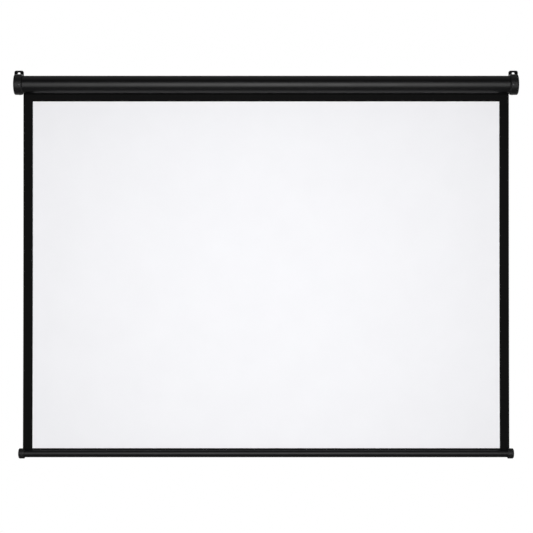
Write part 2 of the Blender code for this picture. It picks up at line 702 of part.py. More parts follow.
def make_roller(parent):
    tube = ring(BORE_RADIUS, ROLLER_RADIUS, -ROLLER_HALF, ROLLER_HALF)
    add_piece("roller_tube", tube, "bare_steel", parent)
    wraps = swept(strip(spiral_line(), LAMINATE), "X", -FABRIC_HALF, FABRIC_HALF)
    add_piece("fabric_wraps", wraps, "black_back_coat", parent)
    head = make_plug("roller_head", -1, parent)
    make_plug("idle_plug", 1, parent)
    for label, angle in PAWL_ANGLES.items():
        y, z = polar(PAWL_CIRCLE, angle - PAWL_TRAIL_ANGLE)
        hole = rod(PIN_RADIUS + FIT_GAP, FLANGE_START - CUT_PAST, FLANGE_END + CUT_PAST)
        bmesh.ops.translate(hole, vec=(0, y, z), verts=hole.verts)
        cut(head, f"pin_hole_{label}", for_side(hole, -1))


# The running pin and its bush

def make_running_end(case, roller):
    bush_end = BOSS_START + BUSH_LENGTH
    bush = turned([
        (LOCK_START, SPINDLE_BORE), (LOCK_START, BUSH_FLANGE_RADIUS), (LOCK_END, BUSH_FLANGE_RADIUS),
        (LOCK_END, BUSH_RADIUS), (bush_end, BUSH_RADIUS), (bush_end, SPINDLE_BORE),
    ])
    add_piece("idle_bush", bush, "natural_nylon", case)
    start, end = PLUG_START + IDLE_PIN_INSET, bush_end - PIN_CHAMFER
    narrow = SPINDLE_RADIUS - PIN_CHAMFER
    pin = turned([
        (start, 0), (start, narrow), (start + PIN_CHAMFER, SPINDLE_RADIUS),
        (end - PIN_CHAMFER, SPINDLE_RADIUS), (end, narrow), (end, 0),
    ])
    add_piece("idle_pin", pin, "bare_steel", roller)


# The fixed spindle, its clip and the ratchet

def make_spindle(parent):
    """One steel rod: a square end for the cap, a journal for the roller and an arbor for the spring."""
    groove = SPINDLE_RADIUS - CLIP_GROOVE_DEPTH
    arbor_end = ANCHOR_FACE - ARBOR_IN_ANCHOR
    shoulder = LOCK_START - RUNNING_GAP / 3
    profile = [
        (arbor_end, 0), (arbor_end, ARBOR_RADIUS), (JOURNAL_START, ARBOR_RADIUS),
        (JOURNAL_START, SPINDLE_RADIUS), (CLIP_START - FIT_GAP, SPINDLE_RADIUS),
        (CLIP_START - FIT_GAP, groove), (CLIP_END + FIT_GAP / 2, groove),
        (CLIP_END + FIT_GAP / 2, SPINDLE_RADIUS), (shoulder, SPINDLE_RADIUS),
        (shoulder, SPINDLE_SQUARE / 4), (LOCK_END, SPINDLE_SQUARE / 4), (LOCK_END, 0),
    ]
    spindle = add_piece("spindle", for_side(turned(profile), -1), "bare_steel", parent)
    start, end = FLANGE_END + RUNNING_GAP / 3, BOSS_START + SOCKET_DEPTH - FIT_GAP
    fuse(spindle, "square_end", for_side(square_bar(SPINDLE_SQUARE / 2, start, end), -1))
    pin_hole = radial(rod(COLLAR_PIN_RADIUS + FIT_GAP, -NOSE_RADIUS, NOSE_RADIUS), 90, -collar_pin_place())
    cut(spindle, "pin_hole", pin_hole)


def make_spindle_clip(parent):
    """An open spring-steel ring in the journal's groove, its mouth to the wall."""
    inner = SPINDLE_RADIUS - CLIP_GROOVE_DEPTH + FIT_GAP
    mouth = CLIP_MOUTH_ANGLE / 2
    line = arc(inner + CLIP_WIDTH / 2, mouth, 360 - mouth, CLIP_STEPS)
    shape = swept(strip(line, CLIP_WIDTH), "X", -CLIP_END, -CLIP_START)
    add_piece("spindle_clip", shape, "oiled_spring_steel", parent)


def ratchet_outline():
    """The wheel's rim, broken by notches that each have a ramp, a floor and a radial stop face."""
    pitch = 360 / NOTCH_COUNT
    outline = []
    for i in range(NOTCH_COUNT):
        stop = PAWL_ANGLES["upper"] + pitch * i
        outline += arc(RATCHET_RADIUS, stop - pitch, stop - NOTCH_RAMP_ANGLE, CORNER_STEPS)
        outline += arc(NOTCH_FLOOR_RADIUS, stop - NOTCH_FLOOR_ANGLE, stop, CORNER_STEPS)
    return outline


def make_ratchet(parent):
    wheel = swept(ratchet_outline(), "X", -LOCK_END, -LOCK_START)
    wheel = add_piece("ratchet_wheel", wheel, "zinc_plate", parent)
    hole = square_bar(SOCKET_HALF, LOCK_START - CUT_PAST, LOCK_END + CUT_PAST)
    cut(wheel, "square_hole", for_side(hole, -1))


# The pawls and their pins

def pawl_outline(pivot):
    """A dropped pawl about its pivot, for a notch whose stop face lies at angle 0."""
    nose = [
        (NOSE_INNER, -FIT_GAP - PAWL_NOSE_WIDTH), (NOSE_INNER, -FIT_GAP),
        (NOSE_OUTER, -FIT_GAP), (NOSE_OUTER + PAWL_NOSE_WIDTH / 3, -FIT_GAP - PAWL_NOSE_WIDTH / 2),
    ]
    nose = [(y - pivot[0], z - pivot[1]) for y, z in nose]
    return nose + arc(PAWL_BOSS_RADIUS, PAWL_TOP_ANGLE, PAWL_UNDER_ANGLE, PAWL_STEPS)


def pawl_lift():
    """The turn in degrees that carries the nose out of its notch and clear of the wheel's rim."""
    nose = Vector((NOSE_INNER, -FIT_GAP))
    reach = (nose - Vector(polar(PAWL_CIRCLE, -PAWL_TRAIL_ANGLE))).length

    def turn_at(radius):
        return math.acos((PAWL_CIRCLE ** 2 + reach ** 2 - radius ** 2) / (2 * PAWL_CIRCLE * reach))

    return math.degrees(turn_at(RATCHET_RADIUS + PAWL_LIFT_GAP) - turn_at(nose.length))


def make_pawls(roller):
    """Both pawls at rest, lifted clear of the ratchet, each on its own axis."""
    outline = pawl_outline(polar(PAWL_CIRCLE, -PAWL_TRAIL_ANGLE))
    for label, angle in PAWL_ANGLES.items():
        pivot = add_axis(f"pawl_{label}_axis", (0, *polar(PAWL_CIRCLE, angle - PAWL_TRAIL_ANGLE)), roller)
        shape = swept(outline, "X", -LOCK_END, -LOCK_START)
        pawl = add_piece(f"pawl_{label}", shape, "zinc_plate", pivot)
        pawl.rotation_euler.x = math.radians(angle - pawl_lift())
        hole = rod(PIN_RADIUS + FIT_GAP, LOCK_START - CUT_PAST, LOCK_END + CUT_PAST)
        cut(pawl, "pin_hole", for_side(hole, -1))


def make_pawl_pins(roller):
    head = LOCK_END + RUNNING_GAP
    profile = [
        (FLANGE_START + FIT_GAP, 0), (FLANGE_START + FIT_GAP, PIN_RADIUS), (head, PIN_RADIUS),
        (head, PIN_HEAD_RADIUS), (head + PIN_HEAD_THICKNESS, PIN_HEAD_RADIUS), (head + PIN_HEAD_THICKNESS, 0),
    ]
    for label, angle in PAWL_ANGLES.items():
        pin = for_side(turned(profile, SMALL_SEGMENTS), -1)
        pin = add_piece(f"pawl_pin_{label}", pin, "bare_steel", roller)
        pin.location = (0, *polar(PAWL_CIRCLE, angle - PAWL_TRAIL_ANGLE))


# The torsion spring and what holds it

def collar_pin_place():
    return COLLAR_START - COLLAR_NOSE / 2


def make_spring_holders(case, roller):
    """The collar pinned to the arbor, and the anchor fixed in the roller, each with a nose."""
    nose_end = COLLAR_START - COLLAR_NOSE
    flange = SPRING_RADIUS + SPRING_WIRE / 2
    collar = turned([
        (nose_end, ARBOR_BORE), (nose_end, NOSE_RADIUS), (COLLAR_START, NOSE_RADIUS),
        (COLLAR_START, flange), (COLLAR_END, flange), (COLLAR_END, ARBOR_BORE),
    ])
    collar = add_piece("spring_collar", for_side(collar, -1), "grey_moulding", case)
    pin_hole = rod(COLLAR_PIN_RADIUS + FIT_GAP, -SPRING_RADIUS, SPRING_RADIUS)
    cut(collar, "pin_hole", radial(pin_hole, 90, -collar_pin_place()))
    pin = rod(COLLAR_PIN_RADIUS, FIT_GAP - NOSE_RADIUS, NOSE_RADIUS - FIT_GAP)
    add_piece("collar_pin", radial(pin, 90, -collar_pin_place()), "bare_steel", case)
    plug = BORE_RADIUS - FIT_GAP
    nose_tip = ANCHOR_FACE + ANCHOR_NOSE
    anchor = turned([
        (ANCHOR_START, ARBOR_BORE), (ANCHOR_START, plug), (ANCHOR_FACE, plug),
        (ANCHOR_FACE, NOSE_RADIUS), (nose_tip, NOSE_RADIUS), (nose_tip, ARBOR_BORE),
    ])
    add_piece("spring_anchor", for_side(anchor, -1), "grey_moulding", roller)


def make_spring(parent):
    """The wound wire, which grips the two noses with its first and last turns."""
    count = SPRING_TURNS * SPRING_POINTS_PER_TURN
    curve = bpy.data.curves.new("torsion_spring", "CURVE")
    curve.dimensions = "3D"
    curve.bevel_depth = SPRING_WIRE / 2
    curve.bevel_resolution = 1
    curve.use_fill_caps = True
    curve.materials.append(make_material("torsion_spring", "oiled_spring_steel"))
    line = curve.splines.new("POLY")
    line.points.add(count)
    for i, point in enumerate(line.points):
        y, z = polar(SPRING_RADIUS, 360 * i / SPRING_POINTS_PER_TURN)
        point.co = (SPRING_PITCH * i / SPRING_POINTS_PER_TURN - SPRING_FIRST, y, z, 1)
    least_gap = min(
        (line.points[i + SPRING_POINTS_PER_TURN].co.xyz - line.points[i].co.xyz).length
        for i in range(count - SPRING_POINTS_PER_TURN)
    )
    print(f"torsion_spring: {SPRING_TURNS} turns, least gap {(least_gap - SPRING_WIRE) / MM:.2f} mm")
    add_object("torsion_spring", curve, parent)


# The fabric that hangs

def make_fabric(parent):
    """The white sheet with its black border in front and its opaque coat behind."""
    def layer(front, back, half, low, high):
        return block((-half, front, low), (half, back, high))

    sheet = layer(SHEET_FRONT, SHEET_BACK, FABRIC_HALF, SHEET_BOTTOM, SHEET_TOP)
    add_piece("screen_fabric", sheet, "matt_white_face", parent)
    mask = layer(MASK_FRONT, SHEET_FRONT, FABRIC_HALF, SHEET_BOTTOM, SHEET_TOP)
    mask = add_piece("masking_border", mask, "black_ink", parent)
    window = layer(MASK_FRONT - CUT_PAST, SHEET_FRONT + CUT_PAST, VIEW_WIDTH / 2, VIEW_BOTTOM, VIEW_TOP)
    cut(mask, "window", window)
    backing = layer(SHEET_BACK, BACKING_BACK, FABRIC_HALF, SHEET_BOTTOM, SHEET_TOP)
    add_piece("black_backing", backing, "black_back_coat", parent)


# The bottom bar

def hem_rod_height():
    """Where the bar hangs on the rod: the hem bears on the two inner edges of the slot."""
    half = BAR_SLOT_WIDTH / 2
    edge = math.sqrt(BAR_INNER_RADIUS ** 2 - half ** 2)
    return edge - math.sqrt((HEM_RADIUS + FIT_GAP) ** 2 - half ** 2)


def make_bar_tube(parent):
    half_mouth = math.degrees(math.asin(BAR_SLOT_WIDTH / 2 / BAR_MIDDLE))
    first, last = 90 + half_mouth, 450 - half_mouth
    line = arc(BAR_MIDDLE, first, last, round((last - first) / BAR_STEP_ANGLE))
    shape = swept(strip(line, BAR_WALL), "X", -BAR_HALF, BAR_HALF)
    add_piece("bar_tube", shape, "black_powder_coat", parent)


def make_hem(parent):
    """The doubled end of the fabric: a stem through the slot and a loop round the rod."""
    height = hem_rod_height()
    centre = (0, height)
    neck = math.degrees(math.asin(LAMINATE / HEM_RADIUS))
    outline = [(-LAMINATE, BAR_RADIUS)] + arc(HEM_RADIUS, 90 + neck, 450 - neck, HEM_STEPS, centre)
    outline.append((LAMINATE, BAR_RADIUS))
    hem = add_piece("fabric_hem", swept(outline, "X", -FABRIC_HALF, FABRIC_HALF), "black_ink", parent)
    pocket = rod(HEM_BORE_RADIUS, -FABRIC_HALF - CUT_PAST, FABRIC_HALF + CUT_PAST, ROLLER_SEGMENTS)
    bmesh.ops.translate(pocket, vec=(0, 0, height), verts=pocket.verts)
    cut(hem, "pocket", pocket)
    half = FABRIC_HALF - HEM_ROD_INSET
    steel = add_piece("hem_rod", rod(HEM_ROD_RADIUS, -half, half, ROLLER_SEGMENTS), "zinc_plate", parent)
    steel.location.z = height


def bar_cap_outside():
    centre = (BAR_CAP_OUTER_END - BAR_CAP_DOME, BAR_CAP_FLAT_RADIUS)
    crown = BAR_CAP_RADIUS - BAR_CAP_FLAT_RADIUS
    dome = []
    for x, y in arc(1, 0, 90, CORNER_STEPS):
        dome.append((centre[0] + BAR_CAP_DOME * x, centre[1] + crown * y))
    skirt = [
        (BAR_CAP_START + BAR_CAP_CHAMFER, BAR_CAP_RADIUS), (BAR_CAP_START, BAR_CAP_RADIUS - BAR_CAP_CHAMFER),
        (BAR_CAP_START, 0),
    ]
    return turned([(BAR_CAP_OUTER_END, 0)] + dome + skirt, BAR_SEGMENTS)


def bar_cap_cavity():
    start = BAR_CAP_START - CUT_PAST
    return turned([
        (start, 0), (start, BAR_CAP_BORE), (BAR_CAP_SEAT, BAR_CAP_BORE), (BAR_CAP_SEAT, BAR_SPIGOT_RADIUS),
        (BAR_SPIGOT_START, BAR_SPIGOT_RADIUS), (BAR_SPIGOT_START, BAR_CUP_RADIUS),
        (BAR_CAP_SEAT, BAR_CUP_RADIUS), (BAR_CAP_SEAT, 0),
    ], BAR_SEGMENTS)


def make_bar_caps(parent):
    for end, side in SIDES.items():
        cap = add_piece(f"bar_cap_{end}", for_side(bar_cap_outside(), side), "black_moulding", parent)
        cut(cap, "cavity", for_side(bar_cap_cavity(), side))
        low = (BAR_CAP_START - CUT_PAST, -BAR_NOTCH_ROOM, BAR_INNER_RADIUS)
        high = (FABRIC_HALF + BAR_NOTCH_ROOM, BAR_NOTCH_ROOM, BAR_CAP_RADIUS + CUT_PAST)
        cut(cap, "fabric_notch", for_side(block(low, high), side))


def build():
    clear_scene()
    case = add_axis("case_axis", (0, -WALL_DEPTH, -HOLE_HEIGHT))
    roller = add_axis("roller_axis", (0, 0, 0), case)
    bar = add_axis("bar_axis", (0, FABRIC_PLANE, BAR_AXIS_HEIGHT), case)
    make_case_tube(case)
    make_end_caps(case)
    make_cap_screws(case)
    make_fabric(case)
    make_roller(roller)
    make_running_end(case, roller)
    make_spindle(case)
    make_spindle_clip(case)
    make_ratchet(case)
    make_pawls(roller)
    make_pawl_pins(roller)
    make_spring_holders(case, roller)
    make_spring(case)
    make_bar_tube(bar)
    make_hem(bar)
    make_bar_caps(bar)
    settle_shapes()


build()
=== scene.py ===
# %% [markdown]
# # A wall-hung projector screen
# The object is a manual roller screen: a rolled steel case with two moulded end caps, a white
# projection cloth with a printed black border, and a round weighted bar in the hem of the cloth.
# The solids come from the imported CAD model. These cells give them the surfaces that a camera sees.

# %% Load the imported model
import math

import bmesh
import bpy
from mathutils import Matrix, Vector


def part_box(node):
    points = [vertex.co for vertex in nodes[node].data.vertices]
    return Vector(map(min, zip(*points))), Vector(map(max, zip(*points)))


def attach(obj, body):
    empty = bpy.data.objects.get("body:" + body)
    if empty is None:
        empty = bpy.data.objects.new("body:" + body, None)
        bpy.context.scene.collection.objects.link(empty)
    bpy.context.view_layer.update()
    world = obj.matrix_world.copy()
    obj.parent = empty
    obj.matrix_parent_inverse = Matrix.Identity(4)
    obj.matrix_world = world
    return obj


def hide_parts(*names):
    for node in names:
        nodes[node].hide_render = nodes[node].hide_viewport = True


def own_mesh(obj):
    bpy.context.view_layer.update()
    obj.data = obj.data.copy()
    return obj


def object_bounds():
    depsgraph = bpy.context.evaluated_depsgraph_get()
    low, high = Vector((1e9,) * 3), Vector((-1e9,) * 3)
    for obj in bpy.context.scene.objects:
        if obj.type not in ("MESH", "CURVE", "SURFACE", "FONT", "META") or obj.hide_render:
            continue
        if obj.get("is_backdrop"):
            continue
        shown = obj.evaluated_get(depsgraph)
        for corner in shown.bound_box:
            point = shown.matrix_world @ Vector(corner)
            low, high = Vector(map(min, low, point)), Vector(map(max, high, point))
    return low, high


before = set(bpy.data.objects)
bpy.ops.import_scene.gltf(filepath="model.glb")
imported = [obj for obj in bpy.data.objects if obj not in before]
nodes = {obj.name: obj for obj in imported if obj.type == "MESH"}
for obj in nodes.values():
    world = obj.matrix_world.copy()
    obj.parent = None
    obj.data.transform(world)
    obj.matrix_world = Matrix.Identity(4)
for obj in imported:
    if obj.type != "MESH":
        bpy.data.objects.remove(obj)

cad_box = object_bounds()

# %% [markdown]
# ## The places that the pieces share
# The roller and the case turn about one line, and everything across the case is measured from it.
# Along the screen, most places count outwards from its middle, so one number serves both ends.
# The numbers repeat the CAD source, and the printed gaps show that they still agree with it.

# %% Read the roller's axis and the bar's axis
MM = 0.001
SIDES = {"left": -1, "right": 1}
CLOTH_PLANE = 18.025

roller_low, roller_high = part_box("roller_tube")
AXIS = (roller_low + roller_high) / 2
CLOTH_BEHIND_AXIS = CLOTH_PLANE * MM
BAR_BELOW_AXIS = 1154.3 * MM
BAR_AXIS = AXIS + Vector((0, CLOTH_BEHIND_AXIS, -BAR_BELOW_AXIS))

bar_tube_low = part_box("bar_tube")[0]
print(f"roller axis y {AXIS.y / MM:.2f} z {AXIS.z / MM:.2f} mm")
print(f"bar axis y {BAR_AXIS.y / MM:.2f} z {BAR_AXIS.z / MM:.2f} mm")
print(f"the bar's tube ends {(BAR_AXIS.z - bar_tube_low.z) / MM:.2f} mm below its axis")

# %% [markdown]
# ## The camera
# The photograph looks straight at the screen from about 5 m, with a long lens, so the sides of the
# cloth stay almost parallel. The lens, the height and the slight upward tilt were worked out from
# where the caps, the border and the bar lie in the picture.

# %% Place the camera
SENSOR_WIDTH, LENS = 36, 107.38
CAMERA_FROM_AXIS, CAMERA_PITCH = (1.2, -4967, -599.4), 90.353

camera_data = bpy.data.cameras.new("photo_camera")
camera_data.sensor_width = SENSOR_WIDTH
camera_data.lens = LENS
camera = bpy.data.objects.new("photo_camera", camera_data)
camera.location = AXIS + Vector(CAMERA_FROM_AXIS) * MM
camera.rotation_euler = (math.radians(CAMERA_PITCH), 0, 0)
bpy.context.scene.collection.objects.link(camera)
bpy.context.scene.camera = camera
print(f"camera at {[round(c, 3) for c in camera.location]}, lens {camera_data.lens} mm")

# %% [markdown]
# ## The studio
# One wide softbox hangs in front of the screen at the height of its middle, and a smaller one just
# before it makes its middle brighter, like the lamp inside a real softbox. Together they give the
# satin tubes one broad highlight that fades towards their ends, and let the light on the cloth
# fall off softly. Their sizes and distance were worked out from those highlights. A weaker box
# behind shows the form of the black back. All carry a grid, as photographers use, which keeps
# light off the floor. A box is set by its radiance straight ahead, where 1 is white: the narrower
# its grid, the less power that radiance takes.

# %% Hang the softboxes
def hang_softbox(name, place, size, radiance, grid, facing):
    half_grid = math.radians(grid / 2)
    lamp = bpy.data.lights.new(name, "AREA")
    lamp.shape = "RECTANGLE"
    lamp.size, lamp.size_y = size
    lamp.spread = 2 * half_grid
    lamp.energy = radiance * math.pi * size[0] * size[1] * (1 - half_grid / math.tan(half_grid))
    box = bpy.data.objects.new(name, lamp)
    box.location = place
    box.rotation_euler = Vector(facing).to_track_quat("-Z", "Y").to_euler()
    box.visible_camera = False
    bpy.context.scene.collection.objects.link(box)
    print(f"{name}: {lamp.energy:.1f} W over {size[0]} x {size[1]} m")


hang_softbox(
    "front_softbox", place=(-0.08, -3.0, -0.56), size=(3.3, 2.7), radiance=3.4, grid=125, facing=(0, 1, 0)
)
hang_softbox(
    "bright_middle", place=(0.14, -2.94, -0.51), size=(1.46, 1.8), radiance=3.16, grid=125, facing=(0, 1, 0)
)
hang_softbox(
    "back_softbox", place=(0, 3.2, 0.9), size=(3.0, 1.6), radiance=2.0, grid=90, facing=(0, -1, -0.45)
)

# %% [markdown]
# ## One way to add a node
# Every finish below is a small tree of nodes. One helper adds a node, sets its properties and
# numbers, and links what feeds it, so each finish reads as a list of steps. Colours are written as
# they look on a screen, in hex, and turned to the linear values that the shader works in.

# %% Define the node and colour helpers
def linear(code):
    shares = [int(code[i:i + 2], 16) / 255 for i in (1, 3, 5)]
    return (*[s / 12.92 if s <= 0.04045 else ((s + 0.055) / 1.055) ** 2.4 for s in shares], 1.0)


def node(tree, kind, values=None, links=None, **settings):
    """Adds a node with its properties, the numbers on its sockets and the outputs that feed them."""
    made = tree.nodes.new(kind)
    for name, value in settings.items():
        setattr(made, name, value)
    for socket, value in (values or {}).items():
        made.inputs[socket].default_value = value
    for socket, source in (links or {}).items():
        tree.links.new(source, made.inputs[socket])
    return made


def combine(tree, operation, first, second):
    return node(tree, "ShaderNodeMath", links={0: first, 1: second}, operation=operation).outputs[0]


def ramp(tree, value, start, to=(0.0, 1.0)):
    """Carries a value over from one range to another, and stops at the ends of both."""
    ends = {"From Min": start[0], "From Max": start[1], "To Min": to[0], "To Max": to[1]}
    return node(tree, "ShaderNodeMapRange", ends, {"Value": value}).outputs["Result"]


print("mid grey #808080 is", [round(c, 3) for c in linear("#808080")[:3]])

# %% [markdown]
# ## The surroundings
# The world is white where the camera looks. Behind the object, reflections see the same white
# backdrop, as in a real studio, while the rest of the room is dim, which keeps the black tubes
# black. Only the ceiling is a little lighter, and it draws a faint line along the top of the case.
# The pale floor lies a metre under the bar, as it would in a room, and fades into the backdrop.

# %% Set the world and lay the floor
ROOM_LIGHT, CEILING_LIGHT = 0.07, 0.48
BACKDROP_EDGE, CEILING_EDGE = (0.92, 0.99), (0.75, 0.97)
FLOOR_BELOW_BAR, FLOOR_HALF = 1.0, 4.0
BEHIND_FADE, DISTANCE_FADE, PALENESS = (1.0, 3.0), (2.4, 4.5), (0.72, 1.0)


def seen_share(tree, behind):
    """1 for what the camera sees directly, and the share of a reflection that lies behind."""
    ray = node(tree, "ShaderNodeLightPath").outputs
    mirrored = combine(tree, "MAXIMUM", ray["Is Glossy Ray"], ray["Is Transmission Ray"])
    return combine(tree, "MAXIMUM", ray["Is Camera Ray"], combine(tree, "MULTIPLY", mirrored, behind))


world = bpy.data.worlds.new("studio")
bpy.context.scene.world = world
world.use_nodes = True
tree = world.node_tree
direction = node(tree, "ShaderNodeTexCoord").outputs["Generated"]
way = node(tree, "ShaderNodeSeparateXYZ", links={"Vector": direction}).outputs
shown = seen_share(tree, ramp(tree, way["Y"], BACKDROP_EDGE))
room = ramp(tree, way["Z"], CEILING_EDGE, (ROOM_LIGHT, CEILING_LIGHT))
strength = node(
    tree, "ShaderNodeMapRange", {"To Max": 1.0}, {"Value": shown, "To Min": room}
).outputs["Result"]
background = tree.nodes["Background"]
background.inputs["Color"].default_value = linear("#FFFFFF")
tree.links.new(strength, background.inputs["Strength"])

shape = bmesh.new()
bmesh.ops.create_grid(shape, x_segments=1, y_segments=1, size=FLOOR_HALF)
floor_height = BAR_AXIS.z - FLOOR_BELOW_BAR
bmesh.ops.translate(shape, vec=(0, 0, floor_height), verts=shape.verts)
floor_mesh = bpy.data.meshes.new("studio_floor")
shape.to_mesh(floor_mesh)
shape.free()
floor = bpy.data.objects.new("studio_floor", floor_mesh)
bpy.context.scene.collection.objects.link(floor)
floor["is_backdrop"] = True
paint = bpy.data.materials.new("pale_floor_paint")
paint.use_nodes = True
tree = paint.node_tree
shader = tree.nodes["Principled BSDF"]
shader.inputs["Base Color"].default_value = linear("#CCCCCB")
shader.inputs["Roughness"].default_value = 0.9
place = node(tree, "ShaderNodeTexCoord").outputs["Object"]
far = node(tree, "ShaderNodeSeparateXYZ", links={"Vector": place}).outputs["Y"]
shown = seen_share(tree, ramp(tree, far, BEHIND_FADE))
distance = node(tree, "ShaderNodeVectorMath", links={0: place}, operation="LENGTH").outputs["Value"]
share = combine(tree, "MULTIPLY", shown, ramp(tree, distance, DISTANCE_FADE, PALENESS))
white = node(tree, "ShaderNodeEmission", {"Color": linear("#FFFFFF"), "Strength": 1.0})
mixed = node(
    tree, "ShaderNodeMixShader", links={0: share, 1: shader.outputs["BSDF"], 2: white.outputs["Emission"]}
)
tree.links.new(mixed.outputs["Shader"], tree.nodes["Material Output"].inputs["Surface"])
floor_mesh.materials.append(paint)
bpy.context.scene.view_settings.view_transform = "Standard"
print(f"floor at z {floor_height:.3f} m")

# %% [markdown]
# ## How a finish is mixed
# A finish starts from one colour and one roughness, as a coat on a sample plate would. Patterns of
# a real size in millimetres then ripple the surface, let its gloss vary and let its colour drift.
# The mix node repeats its sockets for every type of value, so its colour sockets go by number.

# %% Define the steps that the finishes share
PATTERN_MIDDLE, PATTERN_WHOLE = (0.3, 0.7), (0.0, 1.0)
COLOUR_A, COLOUR_B, COLOUR_OUT = 6, 7, 2


def start_finish(name, colour, roughness, metallic=0.0, specular=0.5):
    made = bpy.data.materials.new(name)
    made.use_nodes = True
    shader = made.node_tree.nodes["Principled BSDF"]
    shader.inputs["Base Color"].default_value = linear(colour)
    shader.inputs["Roughness"].default_value = roughness
    shader.inputs["Metallic"].default_value = metallic
    shader.inputs["Specular IOR Level"].default_value = specular
    made.diffuse_color = linear(colour)
    return made, made.node_tree, shader


def object_place(tree):
    return node(tree, "ShaderNodeTexCoord").outputs["Object"]


def noise(tree, place, size, detail, distortion=0.0):
    """Soft patches that are about this many millimetres across."""
    values = {"Scale": 1 / (size * MM), "Detail": detail, "Distortion": distortion}
    return node(tree, "ShaderNodeTexNoise", values, {"Vector": place}).outputs["Fac"]


def ripple(tree, shader, height, strength, depth):
    """Makes a pattern ripple the surface, with a depth in millimetres."""
    bump = node(tree, "ShaderNodeBump", {"Strength": strength, "Distance": depth * MM}, {"Height": height})
    tree.links.new(bump.outputs["Normal"], shader.inputs["Normal"])


def vary_gloss(tree, shader, pattern, roughness, swing, part=PATTERN_MIDDLE):
    gloss = ramp(tree, pattern, part, (roughness - swing, roughness + swing))
    tree.links.new(gloss, shader.inputs["Roughness"])


def drift_colour(tree, shader, pattern, colour, second_colour):
    tone = node(
        tree, "ShaderNodeMix", {COLOUR_A: linear(colour), COLOUR_B: linear(second_colour)}, {0: pattern},
        data_type="RGBA",
    )
    tree.links.new(tone.outputs[COLOUR_OUT], shader.inputs["Base Color"])


print("most of a noise pattern lies between", PATTERN_MIDDLE)

# %% [markdown]
# ## Powder-coated steel
# The case and the bar are thin steel with a baked polyester powder coat. The powder melts into a
# skin with a fine ripple, called orange peel, about 2 mm from crest to crest. It is satin black: a
# clear soft highlight, and almost no colour of its own. The coat of the bar shines a little less.

# %% Mix the two powder coats
COAT_ROUGHNESS = 0.35


def mix_powder_coat(name, specular):
    coat, tree, shader = start_finish(name, "#060607", COAT_ROUGHNESS, specular=specular)
    place = object_place(tree)
    ripple(tree, shader, noise(tree, place, size=2.0, detail=1.5), strength=0.8, depth=0.04)
    vary_gloss(tree, shader, noise(tree, place, size=70, detail=3), COAT_ROUGHNESS, swing=0.03)
    return coat


case_coat = mix_powder_coat("powder_coated_case", specular=0.24)
bar_coat = mix_powder_coat("powder_coated_bar", specular=0.20)
print(case_coat.name, bar_coat.name)

# %% [markdown]
# ## Black moulded plastic
# The four caps are injection moulded in glass-filled nylon. Their mould was spark eroded, which
# leaves a fine random grain of about half a millimetre, so they look a little duller than the
# coated steel beside them. The hanging tabs have a coarser grain, so they hardly shine at all.

# %% Mix the moulding, smooth and grained
def mix_moulding(name, roughness, specular, grain_size, grain_depth):
    moulding, tree, shader = start_finish(name, "#080809", roughness, specular=specular)
    place = object_place(tree)
    ripple(tree, shader, noise(tree, place, grain_size, detail=2), strength=0.4, depth=grain_depth)
    vary_gloss(tree, shader, noise(tree, place, size=25, detail=2), roughness, swing=0.04)
    return moulding


cap_moulding = mix_moulding("glass_filled_nylon", 0.44, specular=0.29, grain_size=0.6, grain_depth=0.02)
grained_moulding = mix_moulding(
    "coarse_grained_nylon", 0.80, specular=0.10, grain_size=1.2, grain_depth=0.08
)
print(cap_moulding.name, grained_moulding.name)

# %% [markdown]
# ## The projection cloth
# The cloth is woven glass fibre with a matt white vinyl face, a black border printed on it and an
# opaque black coat behind. Its threads lie about 0.8 mm apart. They are drawn 2 mm apart here, so
# that they show in a close view, and they only ripple the surface. Each cloth piece has a UV map
# in metres of cloth, so the weave follows the material where it rolls or folds.

# %% Mix the three cloth finishes
THREAD_SPACING, THREAD_RIDGE, DRIFT_SIZE = 2.0, 0.03, 120
WAVES_PER_UNIT = 10 / math.pi
CLOTH_MAP = "cloth"


def mix_cloth(name, colour, second_colour, roughness, specular):
    """A coat whose colour drifts a little over the width of a hand, with the threads under it."""
    coat, tree, shader = start_finish(name, colour, roughness, specular=specular)
    thread_scale = 1 / (THREAD_SPACING * MM * WAVES_PER_UNIT)
    cloth = node(tree, "ShaderNodeUVMap", uv_map=CLOTH_MAP).outputs["UV"]
    drift_colour(tree, shader, noise(tree, cloth, DRIFT_SIZE, detail=4), colour, second_colour)
    threads = [
        node(
            tree, "ShaderNodeTexWave", {"Scale": thread_scale, "Distortion": 0.5}, {"Vector": cloth},
            wave_type="BANDS", bands_direction=way,
        ).outputs["Fac"]
        for way in "XY"
    ]
    ripple(tree, shader, combine(tree, "ADD", *threads), strength=0.6, depth=THREAD_RIDGE)
    return coat


white_face = mix_cloth("matt_white_vinyl", "#F7F7FA", "#F3F3F6", 0.95, specular=0.1)
black_ink = mix_cloth("black_screen_ink", "#0B0B0B", "#090909", 0.60, specular=0.04)
black_coat = mix_cloth("opaque_black_backing", "#1B1B1D", "#151517", 0.70, specular=0.3)
print([m.name for m in (white_face, black_ink, black_coat)])

# %% [markdown]
# ## The metals
# Zinc plate is bright and slightly cloudy. Drawn steel has fine lines along its length, left by
# the die. Spring steel is dark from tempering and shiny with oil. The roller is a galvanised tube,
# whose zinc froze into flat crystals of about a centimetre, each with its own grey.

# %% Mix the metals
CRYSTAL_SIZE = 9


def mix_metal(name, colour, roughness, patch):
    """A metal whose gloss changes over patches of a given size in X, Y and Z, in millimetres."""
    metal, tree, shader = start_finish(name, colour, roughness, metallic=1.0)
    in_patches = node(
        tree, "ShaderNodeMapping", {"Scale": [1 / (p * MM) for p in patch]}, {"Vector": object_place(tree)}
    ).outputs[0]
    cloud = node(tree, "ShaderNodeTexNoise", {"Scale": 1.0, "Detail": 2}, {"Vector": in_patches})
    vary_gloss(tree, shader, cloud.outputs["Fac"], roughness, swing=0.07)
    return metal


